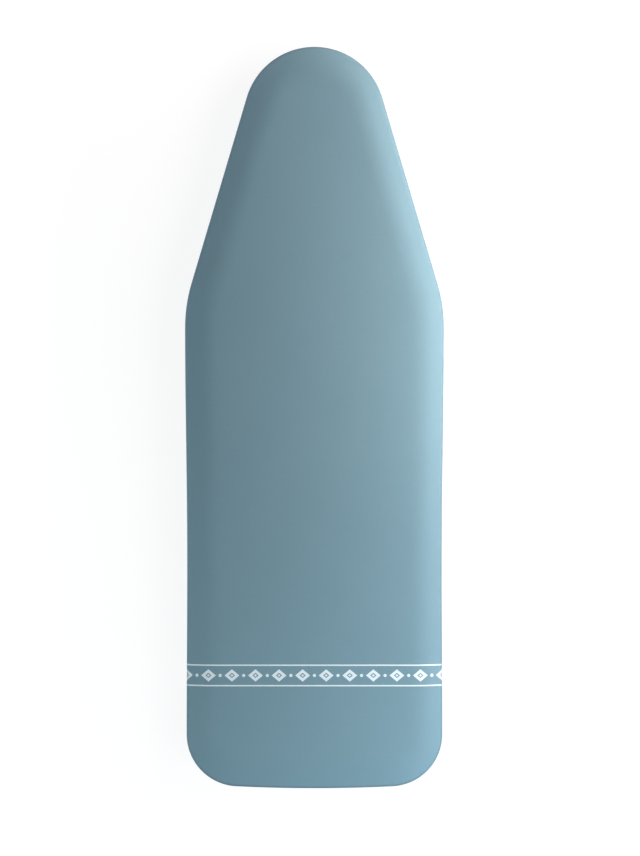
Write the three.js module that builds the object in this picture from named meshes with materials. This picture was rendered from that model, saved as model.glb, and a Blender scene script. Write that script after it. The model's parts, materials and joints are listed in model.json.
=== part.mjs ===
// An ironing board cover as it sits when stretched over a board: cotton over foam and felt, an elastic hem
// turned under the edge, and three pairs of touch-fastening straps that hold it from below.
// Millimetres, +Z up. The nose points along +Y. The origin is on the floor under the middle of the cover.
import * as THREE from "three";

// Plan of the fitted cover, over the cotton
const LENGTH = 1200;
const SHOULDER_WIDTH = 419;
const TAIL_WIDTH = 414;
const SIDE_DRAW = 2; // how far the tension draws each side in, halfway from shoulder to tail
const NOSE_RADIUS = 114.5;
const SHOULDER_SETBACK = 454; // from the nose tip to the widest point
const SHOULDER_RADIUS = 250;
const TAIL_CORNER_RADIUS = 84.5;
const TAIL_EDGE_RADIUS = 2600;

// Layers
const BOARD_THICKNESS = 22; // the room left for the board
const COTTON = 0.8;
const FOAM = 6;
const FELT = 4;
const CROWN_WIDTH = 60; // the band along the edge where tight cotton squeezes the padding
const CROWN_POWER = 2.2; // how late in that band the padding falls away
const PAD_INSET = 6; // from the outside of the cotton to the edge of the padding
const PAD_EDGE = 2.4; // what is left of the padding's thickness there
const EDGE_ROLL = 7; // how softly the cotton turns over the board's edges
const FIT_GAP = 0.3; // clearance between pieces that touch

// Hem
const TURN_UNDER = 52; // from the outside to the raw edge of the cotton
const SEAM_LAP = 6; // how far the raw edge goes into its binding
const TAPE = 1;
const ELASTIC = 1.2;
const ELASTIC_WIDTH = 6;
const HEM_SLACK = 1.1; // play between the straps' sewn ends and the board
const GATHER_DEPTH = 1.8;
const NOSE_GATHERS = 5;
const CORNER_GATHERS = 3;

// Straps
const STRAP_STATIONS = ["rear", "middle", "front"];
const STRAP = 1;
const STRAP_WIDTH = 30;
const STRAP_OVERLAP = 70;
const STRAP_ROOT = 12; // the length sewn down on the binding
const STRAP_SWING = THREE.MathUtils.degToRad(120); // how far a loosened strap can hang back under the hem
const STRAP_TIP_RADIUS = 9;
const PATCH = 0.7;
const PATCH_LENGTH = 50;
const PATCH_MARGIN = 2; // webbing left bare on each side of a patch

// Facets
const STEPS_PER_GATHER = 4;
const CROWN_STEPS = 3;
const ROLL_STEPS = 2;
const FOLD_STEPS = 4;
const TIP_STEPS = 4;
const DROP_STEPS = 6;

// Heights that follow from the sizes above
const CAVITY = Math.max(ELASTIC, COTTON) + 2 * FIT_GAP;
const BINDING_HEIGHT = CAVITY + 2 * TAPE;
const HEM_LEVEL = BINDING_HEIGHT / 2;
const STRAP_LEVEL = BINDING_HEIGHT + FIT_GAP + STRAP / 2;
const STRAP_DROP = STRAP + 2 * PATCH + 3 * FIT_GAP;
const BOARD_BOTTOM = STRAP_LEVEL + STRAP / 2 + HEM_SLACK;
const BOARD_TOP = BOARD_BOTTOM + BOARD_THICKNESS;
const PAD_STACK = FELT + FIT_GAP + FOAM;
const CROWN_DROP = PAD_STACK - PAD_EDGE;

// Insets that follow from the sizes above
const LIP_INSET = TURN_UNDER - SEAM_LAP;
const FOLD_CENTRE = TURN_UNDER + 2 * FIT_GAP + ELASTIC_WIDTH;
const FOLD_INSET = FOLD_CENTRE + BINDING_HEIGHT / 2;

// From the binding's fold to the line where a strap bends, so that it clears the fold all through its swing
const STRAP_REACH = (STRAP_LEVEL - HEM_LEVEL) * Math.tan(STRAP_SWING / 2) - BINDING_HEIGHT / 2;

// From that line back to the sewn end, so that the swung strap clears the end's corner
const ROOT_GAP = (STRAP / 2) * Math.tan(STRAP_SWING / 2) + FIT_GAP / Math.sin(STRAP_SWING);

const finish = (color, roughness) => new THREE.MeshStandardMaterial({ color, roughness, metalness: 0 });
const COTTON_FINISH = finish("#7694a0", 0.7);
const FOAM_FINISH = finish("#e6dfc8", 0.9);
const FELT_FINISH = finish("#d9d8d2", 1);
const BINDING_FINISH = finish("#5f7d8b", 0.8);
const ELASTIC_FINISH = finish("#efeee9", 0.8);
const WEBBING_FINISH = finish("#56656d", 0.8);
const HOOK_FINISH = finish("#3c474d", 0.6);
const LOOP_FINISH = finish("#465259", 1);

// One long side of the plan, drawn in between the shoulder and the tail corner. side is 1 on the right.
class DrawnSide extends THREE.Curve {
  constructor(low, high, side) {
    super();
    this.low = low;
    this.high = high;
    this.side = side;
  }

  getPoint(t) {
    const up = this.side > 0 ? t : 1 - t;
    const blend = THREE.MathUtils.smoothstep(up, 0, 1);
    const straight = THREE.MathUtils.lerp(TAIL_WIDTH, SHOULDER_WIDTH, blend) / 2;
    const drawn = straight - SIDE_DRAW * Math.sin(Math.PI * up) ** 2;
    return new THREE.Vector2(this.side * drawn, THREE.MathUtils.lerp(this.low, this.high, up));
  }
}

const arc = (centre, radius, from, to) =>
  new THREE.EllipseCurve(centre.x, centre.y, radius, radius, from, to, false);

// Centres of the plan's round stretches, on the right-hand side
const noseCentre = new THREE.Vector2(0, LENGTH / 2 - NOSE_RADIUS);
const shoulderCentre = new THREE.Vector2(SHOULDER_WIDTH / 2 - SHOULDER_RADIUS, LENGTH / 2 - SHOULDER_SETBACK);
const tailCentre = new THREE.Vector2(0, TAIL_EDGE_RADIUS - LENGTH / 2);
const tailReach = TAIL_EDGE_RADIUS - TAIL_CORNER_RADIUS;
const tailAngle = Math.asin((TAIL_WIDTH / 2 - TAIL_CORNER_RADIUS) / tailReach);
const cornerCentre = new THREE.Vector2(
  tailReach * Math.sin(tailAngle),
  tailCentre.y - tailReach * Math.cos(tailAngle),
);

// The plan anticlockwise from the right tail corner, each stretch tangent to the next
function planStretches() {
  const mirrored = (centre) => new THREE.Vector2(-centre.x, centre.y);
  const toShoulder = shoulderCentre.clone().sub(noseCentre);
  const taper =
    Math.atan2(toShoulder.y, toShoulder.x) + Math.acos((NOSE_RADIUS - SHOULDER_RADIUS) / toShoulder.length());
  const quarter = Math.PI / 2;
  const nose = arc(noseCentre, NOSE_RADIUS, taper, Math.PI - taper);
  const rightShoulder = arc(shoulderCentre, SHOULDER_RADIUS, 0, taper);
  const leftShoulder = arc(mirrored(shoulderCentre), SHOULDER_RADIUS, Math.PI - taper, Math.PI);
  const cornerSteps = CORNER_GATHERS * STEPS_PER_GATHER;
  return [
    {
      curve: arc(cornerCentre, TAIL_CORNER_RADIUS, tailAngle - quarter, 0),
      steps: cornerSteps,
      gathers: CORNER_GATHERS,
    },
    { curve: new DrawnSide(cornerCentre.y, shoulderCentre.y, 1), steps: 2, gathers: 0 },
    { curve: rightShoulder, steps: 2, gathers: 0 },
    { curve: new THREE.LineCurve(rightShoulder.getPoint(1), nose.getPoint(0)), steps: 1, gathers: 0 },
    { curve: nose, steps: NOSE_GATHERS * STEPS_PER_GATHER, gathers: NOSE_GATHERS },
    { curve: new THREE.LineCurve(nose.getPoint(1), leftShoulder.getPoint(0)), steps: 1, gathers: 0 },
    { curve: leftShoulder, steps: 2, gathers: 0 },
    { curve: new DrawnSide(cornerCentre.y, shoulderCentre.y, -1), steps: 2, gathers: 0 },
    {
      curve: arc(mirrored(cornerCentre), TAIL_CORNER_RADIUS, Math.PI, 3 * quarter - tailAngle),
      steps: cornerSteps,
      gathers: CORNER_GATHERS,
    },
    {
      curve: arc(tailCentre, TAIL_EDGE_RADIUS, -quarter - tailAngle, tailAngle - quarter),
      steps: 2,
      gathers: 0,
    },
  ];
}

// Points round the plan, each with the way inwards and the height of the gathers there, from -1 to 1
const plan = planStretches().flatMap(({ curve, steps, gathers }) =>
  Array.from({ length: steps }, (_, i) => {
    const along = curve.getTangent(i / steps);
    return {
      point: curve.getPoint(i / steps),
      inward: new THREE.Vector2(-along.y, along.x),
      wave: Math.sin((2 * Math.PI * gathers * i) / steps),
    };
  }),
);

// One loop round the plan, set in from the outside of the cotton
const loop = ({ inset, z, gather = 0 }) =>
  plan.map(
    ({ point, inward, wave }) =>
      new THREE.Vector3(point.x + inward.x * inset, point.y + inward.y * inset, z + gather * wave),
  );

const fromAbove = (p) => new THREE.Vector2(p.x, p.y);
const fromBehind = (p) => new THREE.Vector2(-p.y, p.z);

// Skins loops of equal length into one closed body. The first loop runs anticlockwise as look sees it, and
// the others follow away from the eye. With no look, the last loop joins the first, as in a ring.
function loft(loops, look) {
  const count = loops[0].length;
  const faces = [];
  const strips = look ? loops.length - 1 : loops.length;
  for (let i = 0; i < strips; i += 1) {
    const near = i * count;
    const far = ((i + 1) % loops.length) * count;
    for (let j = 0; j < count; j += 1) {
      const k = (j + 1) % count;
      faces.push(near + j, far + j, far + k, near + j, far + k, near + k);
    }
  }
  if (look) {
    const last = (loops.length - 1) * count;
    for (const [a, b, c] of THREE.ShapeUtils.triangulateShape(loops[0].map(look), [])) faces.push(a, b, c);
    for (const [a, b, c] of THREE.ShapeUtils.triangulateShape(loops.at(-1).map(look), []))
      faces.push(last + a, last + c, last + b);
  }
  const geometry = new THREE.BufferGeometry().setFromPoints(loops.flat());
  geometry.setIndex(faces);
  geometry.computeVertexNormals();
  return geometry;
}

function mesh(name, geometry, material) {
  const made = new THREE.Mesh(geometry, material);
  made.name = name;
  return made;
}

// How far the padding is squeezed at an inset, from nothing at the inner side of the crown
const squeeze = (inset) =>
  CROWN_DROP * ((CROWN_WIDTH - inset) / (CROWN_WIDTH - PAD_INSET)) ** CROWN_POWER;
const padHeight = (inset) => PAD_STACK - squeeze(inset);
const feltHeight = (inset) => ((padHeight(inset) - FIT_GAP) * FELT) / (FELT + FOAM);

// Insets across the crown, from its inner side to an outer limit
const crownInsets = (limit) =>
  Array.from({ length: CROWN_STEPS + 1 }, (_, i) =>
    THREE.MathUtils.lerp(CROWN_WIDTH, limit, i / CROWN_STEPS),
  );

// One face of the cotton from the flat of the top, over the edge and under to the raw edge.
// skin is 0 on the face towards the board and the cotton's thickness on the outer face.
function cottonFace(skin, rollSteps) {
  const side = COTTON - skin;
  const padTop = BOARD_TOP + FIT_GAP;
  const slope = (CROWN_DROP * CROWN_POWER) / (CROWN_WIDTH - PAD_INSET);
  const lean = Math.hypot(1, slope);
  const crown = crownInsets(PAD_INSET).map((inset) => {
    const share = (CROWN_WIDTH - inset) / (CROWN_WIDTH - PAD_INSET);
    return { inset, z: padTop + padHeight(inset) + skin * THREE.MathUtils.lerp(1, lean, share) };
  });
  const brow = crown.at(-1);
  const rollFoot = padTop + padHeight(PAD_INSET) - EDGE_ROLL;
  const under = BOARD_BOTTOM - FIT_GAP - skin;
  const hem = HEM_LEVEL + COTTON / 2 - skin;
  const roll = (from, corner, to) => {
    const bend = new THREE.QuadraticBezierCurve(from, corner, to);
    return bend.getPoints(rollSteps).map(({ x, y }) => ({ inset: x, z: y }));
  };
  const shoulder = roll(
    new THREE.Vector2(brow.inset, brow.z),
    new THREE.Vector2(side, brow.z - slope * (PAD_INSET - side)),
    new THREE.Vector2(side, rollFoot),
  );
  const heel = roll(
    new THREE.Vector2(side, under + skin + EDGE_ROLL),
    new THREE.Vector2(side, under),
    new THREE.Vector2(COTTON + EDGE_ROLL, under),
  );
  const lip = { inset: LIP_INSET - 2 * TAPE, z: hem };
  const belly = {
    inset: (COTTON + EDGE_ROLL + lip.inset) / 2,
    z: (under + hem) / 2,
    gather: GATHER_DEPTH,
  };
  return [...crown, ...shoulder.slice(1), ...heel, belly, lip, { inset: TURN_UNDER, z: hem }];
}

function coverFabric() {
  const outside = cottonFace(COTTON, ROLL_STEPS);
  const inside = cottonFace(0, 1);
  return mesh("cover_fabric", loft([...outside, ...inside.reverse()].map(loop), fromAbove), COTTON_FINISH);
}

function foamPad() {
  const insets = crownInsets(PAD_INSET + FIT_GAP);
  const top = insets.map((inset) => ({ inset, z: BOARD_TOP + padHeight(inset) }));
  const bottom = insets.map((inset) => ({ inset, z: BOARD_TOP + feltHeight(inset) + FIT_GAP }));
  return mesh("foam_pad", loft([...top, ...bottom.reverse()].map(loop), fromAbove), FOAM_FINISH);
}

function feltPad() {
  const insets = crownInsets(PAD_INSET + FIT_GAP);
  const top = insets.map((inset) => ({ inset, z: BOARD_TOP + feltHeight(inset) }));
  const rim = { inset: insets.at(-1), z: BOARD_TOP };
  return mesh("felt_pad", loft([...top, rim].map(loop), fromAbove), FELT_FINISH);
}

// Points of a half-round fold that bulges inwards, from its lower end to its upper end
const fold = (radius, steps) =>
  Array.from({ length: steps + 1 }, (_, i) => {
    const angle = Math.PI * (i / steps - 0.5);
    return { inset: FOLD_CENTRE + radius * Math.cos(angle), z: HEM_LEVEL + radius * Math.sin(angle) };
  });

// Tape folded round the raw edge, open towards the outside where the cotton goes in
function hemBinding() {
  const section = [
    ...fold(BINDING_HEIGHT / 2, FOLD_STEPS),
    { inset: LIP_INSET, z: BINDING_HEIGHT },
    { inset: LIP_INSET, z: BINDING_HEIGHT - TAPE },
    ...fold(CAVITY / 2, FOLD_STEPS / 2).reverse(),
    { inset: LIP_INSET, z: TAPE },
    { inset: LIP_INSET, z: 0 },
  ];
  return mesh("hem_binding", loft(section.map(loop)), BINDING_FINISH);
}

// Flat elastic that runs all round inside the fold of the binding
function hemElastic() {
  const inner = FOLD_CENTRE - FIT_GAP;
  const outer = inner - ELASTIC_WIDTH;
  const section = [
    { inset: inner, z: HEM_LEVEL + ELASTIC / 2 },
    { inset: outer, z: HEM_LEVEL + ELASTIC / 2 },
    { inset: outer, z: HEM_LEVEL - ELASTIC / 2 },
    { inset: inner, z: HEM_LEVEL - ELASTIC / 2 },
  ];
  return mesh("hem_elastic", loft(section.map(loop)), ELASTIC_FINISH);
}

// Where the binding's fold crosses a line of constant y, on the right-hand side
function foldAt(y) {
  const edge = loop({ inset: FOLD_INSET, z: HEM_LEVEL });
  for (let i = 0; i < edge.length; i += 1) {
    const from = edge[i];
    const to = edge[(i + 1) % edge.length];
    if (from.x > 0 && to.x > 0 && from.y <= y && y < to.y)
      return THREE.MathUtils.lerp(from.x, to.x, (y - from.y) / (to.y - from.y));
  }
  throw new Error(`no side of the hem at y = ${y}`);
}

// The free length of a strap, along +X from the line where it bends, which is its origin.
// Its root is rounded about that line, and past run it lies lower by drop.
function freeStrap(length, drop, run) {
  const crossSection = (x, halfWidth, halfThick, z) => [
    new THREE.Vector3(x, -halfWidth, z - halfThick),
    new THREE.Vector3(x, -halfWidth, z + halfThick),
    new THREE.Vector3(x, halfWidth, z + halfThick),
    new THREE.Vector3(x, halfWidth, z - halfThick),
  ];
  const half = STRAP_WIDTH / 2;
  const root = [30, 60].map((degrees) => {
    const angle = THREE.MathUtils.degToRad(degrees);
    return crossSection((-STRAP / 2) * Math.cos(angle), half, (STRAP / 2) * Math.sin(angle), 0);
  });
  const steps = drop > 0 ? DROP_STEPS : 1;
  const descent = Array.from({ length: steps + 1 }, (_, i) => {
    const z = -drop * THREE.MathUtils.smoothstep(i / steps, 0, 1);
    return crossSection((run * i) / steps, half, STRAP / 2, z);
  });
  const tip = Array.from({ length: TIP_STEPS + 1 }, (_, i) => {
    const angle = (Math.PI / 2) * (i / TIP_STEPS);
    const x = length - STRAP_TIP_RADIUS * (1 - Math.sin(angle));
    return crossSection(x, half - STRAP_TIP_RADIUS * (1 - Math.cos(angle)), STRAP / 2, -drop);
  });
  return loft([...root, ...descent, ...tip], fromBehind);
}

// One half of a strap: its end sewn to the binding, its free length and its touch-fastening patch.
// The half lies along +X in its own group, which carries it to the hem.
function strapHalf(name, { length, drop, run, patchSide, patchFinish, patchName }) {
  const half = new THREE.Group();
  const rootLength = STRAP_REACH + STRAP_ROOT - ROOT_GAP;
  const rootShape = new THREE.BoxGeometry(rootLength, STRAP_WIDTH, STRAP);
  const root = mesh(`${name}_strap_root`, rootShape, WEBBING_FINISH);
  root.position.x = -ROOT_GAP - rootLength / 2;
  const strap = mesh(`${name}_strap`, freeStrap(length, drop, run), WEBBING_FINISH);
  const patchWidth = STRAP_WIDTH - 2 * PATCH_MARGIN;
  const patch = mesh(patchName, new THREE.BoxGeometry(PATCH_LENGTH, patchWidth, PATCH), patchFinish);
  patch.position.x = length - STRAP_OVERLAP / 2;
  patch.position.z = patchSide * (STRAP / 2 + FIT_GAP + PATCH / 2) - drop;
  half.add(root, strap, patch);
  return half;
}

// A hook half from the right and a loop half from the left, overlapping in the middle
function strapPair(station, y) {
  const inner = Math.min(foldAt(y - STRAP_WIDTH / 2), foldAt(y), foldAt(y + STRAP_WIDTH / 2));
  const bend = inner - STRAP_REACH;
  const length = bend + STRAP_OVERLAP / 2;
  const tipMargin = (STRAP_OVERLAP - PATCH_LENGTH) / 2;
  const run = length - STRAP_OVERLAP - tipMargin;
  const hook = strapHalf(`${station}_hook`, {
    length,
    drop: STRAP_DROP,
    run,
    patchSide: 1,
    patchFinish: HOOK_FINISH,
    patchName: `${station}_hook_patch`,
  });
  hook.position.set(bend, y, STRAP_LEVEL);
  hook.rotation.z = Math.PI;
  const loopHalf = strapHalf(`${station}_loop`, {
    length,
    drop: 0,
    run,
    patchSide: -1,
    patchFinish: LOOP_FINISH,
    patchName: `${station}_loop_patch`,
  });
  loopHalf.position.set(-bend, y, STRAP_LEVEL);
  return [hook, loopHalf];
}

const cover = new THREE.Group();
cover.add(coverFabric(), foamPad(), feltPad(), hemBinding(), hemElastic());
const sideRun = shoulderCentre.y - cornerCentre.y;
STRAP_STATIONS.forEach((station, i) => {
  const y = cornerCentre.y + (sideRun * (i + 0.5)) / STRAP_STATIONS.length;
  cover.add(...strapPair(station, y));
});

export default cover;
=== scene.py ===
"""Looks of a fitted ironing board cover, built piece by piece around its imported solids.

Metres throughout, +Z up, nose along +Y. The cotton is one cut panel: it is stretched over foam and felt,
rolls over the edge and turns under to an elastic hem. Three pairs of touch-fastening straps cross below.
"""

from __future__ import annotations

import sys

import json
import logging
import math
from dataclasses import dataclass
from enum import Enum
from typing import Callable, Iterable, Sequence

import bmesh
import bpy
import numpy as np
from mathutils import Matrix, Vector

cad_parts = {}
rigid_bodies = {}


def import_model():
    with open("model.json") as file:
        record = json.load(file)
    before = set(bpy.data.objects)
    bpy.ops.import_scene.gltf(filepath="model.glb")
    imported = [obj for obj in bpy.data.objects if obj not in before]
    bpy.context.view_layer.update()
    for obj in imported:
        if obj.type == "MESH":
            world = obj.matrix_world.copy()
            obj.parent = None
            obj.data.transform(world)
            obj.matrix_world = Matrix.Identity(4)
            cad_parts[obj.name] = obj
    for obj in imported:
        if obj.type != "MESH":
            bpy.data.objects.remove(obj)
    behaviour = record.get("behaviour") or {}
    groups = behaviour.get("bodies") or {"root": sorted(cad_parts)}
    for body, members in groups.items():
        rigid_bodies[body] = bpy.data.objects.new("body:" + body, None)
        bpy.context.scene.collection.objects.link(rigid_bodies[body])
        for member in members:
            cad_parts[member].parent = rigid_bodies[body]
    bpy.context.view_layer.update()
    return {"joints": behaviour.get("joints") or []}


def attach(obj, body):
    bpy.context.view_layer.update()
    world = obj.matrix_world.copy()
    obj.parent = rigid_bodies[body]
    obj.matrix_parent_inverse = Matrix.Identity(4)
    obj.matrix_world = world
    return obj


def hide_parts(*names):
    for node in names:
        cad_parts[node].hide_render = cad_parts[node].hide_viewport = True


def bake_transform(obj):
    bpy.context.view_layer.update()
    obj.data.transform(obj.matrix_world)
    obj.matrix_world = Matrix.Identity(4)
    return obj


LOG = logging.getLogger("board_cover")
CUT_MAP = "Cut"
MM = 0.001
MERGE = 1e-7
WHITE = (1.0, 1.0, 1.0, 1.0)

Number = np.ndarray | float
Colour = tuple[float, ...]
Socket = bpy.types.NodeSocket
Material = bpy.types.Material
Piece = bpy.types.Object
Point = Sequence[float]
Height = Callable[[Number], Number]
Rows = Iterable[tuple[np.ndarray, np.ndarray]]


def smooth(share: Number) -> Number:
    """Eases a share from 0 to 1 with a level start and end."""
    t = np.clip(share, 0.0, 1.0)
    return t * t * (3 - 2 * t)


def lerp(a: Number, b: Number, t: Number) -> Number:
    """The value a share t of the way from a to b."""
    return a + (b - a) * t


def srgb(*levels: int) -> Colour:
    """A colour given in 0 to 255 display values, as the linear values that shaders take."""
    share = np.array(levels) / 255
    linear = np.where(share <= 0.04045, share / 12.92, ((share + 0.055) / 1.055) ** 2.4)
    return (*linear.tolist(), 1.0)


def put(name: str, data: bpy.types.ID) -> Piece:
    """Makes an object of some data and links it to the scene."""
    made = bpy.data.objects.new(name, data)
    bpy.context.scene.collection.objects.link(made)
    return made


class Half(Enum):
    """The two halves of a strap: hooks come in from the right, loops from the left."""

    HOOK = "hook"
    LOOP = "loop"


class Station(Enum):
    """The strap stations, from the tail to the nose."""

    REAR = "rear"
    MIDDLE = "middle"
    FRONT = "front"


@dataclass(frozen=True)
class Layers:
    """Thicknesses, clearances and the heights that follow from them."""

    board: float = 22 * MM
    cotton: float = 0.8 * MM
    foam: float = 6 * MM
    felt: float = 4 * MM
    crown_width: float = 56 * MM
    crown_flank: float = 18 * MM
    crown_power: float = 1.4
    pad_inset: float = 6 * MM
    pad_edge: float = 2.4 * MM
    edge_roll: float = 7 * MM
    gap: float = 0.3 * MM
    turn_under: float = 52 * MM
    seam_lap: float = 6 * MM
    tape: float = 1.0 * MM
    elastic: float = 1.2 * MM
    elastic_width: float = 6 * MM
    hem_slack: float = 1.1 * MM
    strap: float = 1.0 * MM
    patch: float = 0.7 * MM

    @property
    def cavity(self) -> float:
        """Clear height inside the folded binding."""
        return max(self.elastic, self.cotton) + 2 * self.gap

    @property
    def binding(self) -> float:
        """Height of the folded binding."""
        return self.cavity + 2 * self.tape

    @property
    def hem_level(self) -> float:
        """Height of the hem's middle."""
        return self.binding / 2

    @property
    def strap_level(self) -> float:
        """Height of a strap's middle where it is sewn down."""
        return self.binding + self.gap + self.strap / 2

    @property
    def strap_drop(self) -> float:
        """How much lower the hook half lies, under the loop half."""
        return self.strap + 2 * self.patch + 3 * self.gap

    @property
    def board_bottom(self) -> float:
        """Height of the underside of the board's room."""
        return self.strap_level + self.strap / 2 + self.hem_slack

    @property
    def board_top(self) -> float:
        """Height of the top of the board's room, where the felt lies."""
        return self.board_bottom + self.board

    @property
    def pad_stack(self) -> float:
        """Full thickness of the padding."""
        return self.felt + self.gap + self.foam

    @property
    def lip_inset(self) -> float:
        """Inset of the binding's open lips."""
        return self.turn_under - self.seam_lap

    @property
    def fold_centre(self) -> float:
        """Inset of the middle of the binding's fold."""
        return self.turn_under + 2 * self.gap + self.elastic_width

    @property
    def crown_slope(self) -> float:
        """Slope of the crown's outer flank, which takes the padding down to its edge."""
        ramp = (self.crown_width - self.crown_flank) / (self.crown_power + 1)
        return (self.pad_stack - self.pad_edge) / (ramp + self.crown_flank - self.pad_inset)

    def pad_height(self, inset: Number) -> Number:
        """Height of the padding over the board at an inset.

        Args:
            inset: Distance in from the outside of the cotton.

        Returns:
            The padding's thickness there. It is full at the inner side of the crown, falls ever steeper
            towards the outer flank and keeps one slope from there to its edge.
        """
        ramp = self.crown_width - self.crown_flank
        share = np.clip((self.crown_width - inset) / ramp, 0, 1)
        fall = ramp * share ** (self.crown_power + 1) / (self.crown_power + 1)
        return self.pad_stack - self.crown_slope * (fall + np.clip(self.crown_flank - inset, 0, None))

    def felt_height(self, inset: Number) -> Number:
        """The felt's part of the padding at an inset."""
        return (self.pad_height(inset) - self.gap) * self.felt / (self.felt + self.foam)


@dataclass(frozen=True)
class PlanLoop:
    """Points round the cover's plan, anticlockwise from the middle of the tail.

    Attributes:
        points: Places on the outline.
        inward: Unit vectors across the outline, into the cover.
        travel: Distance along the outline.
        gather: How strongly the turned-under cotton is gathered, from 0 on a straight to 1 on a round.
        wave: Height of the main gathers, from -1 to 1.
    """

    points: np.ndarray
    inward: np.ndarray
    travel: np.ndarray
    gather: np.ndarray
    wave: np.ndarray

    @property
    def count(self) -> int:
        """Number of points round the plan."""
        return len(self.points)


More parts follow.
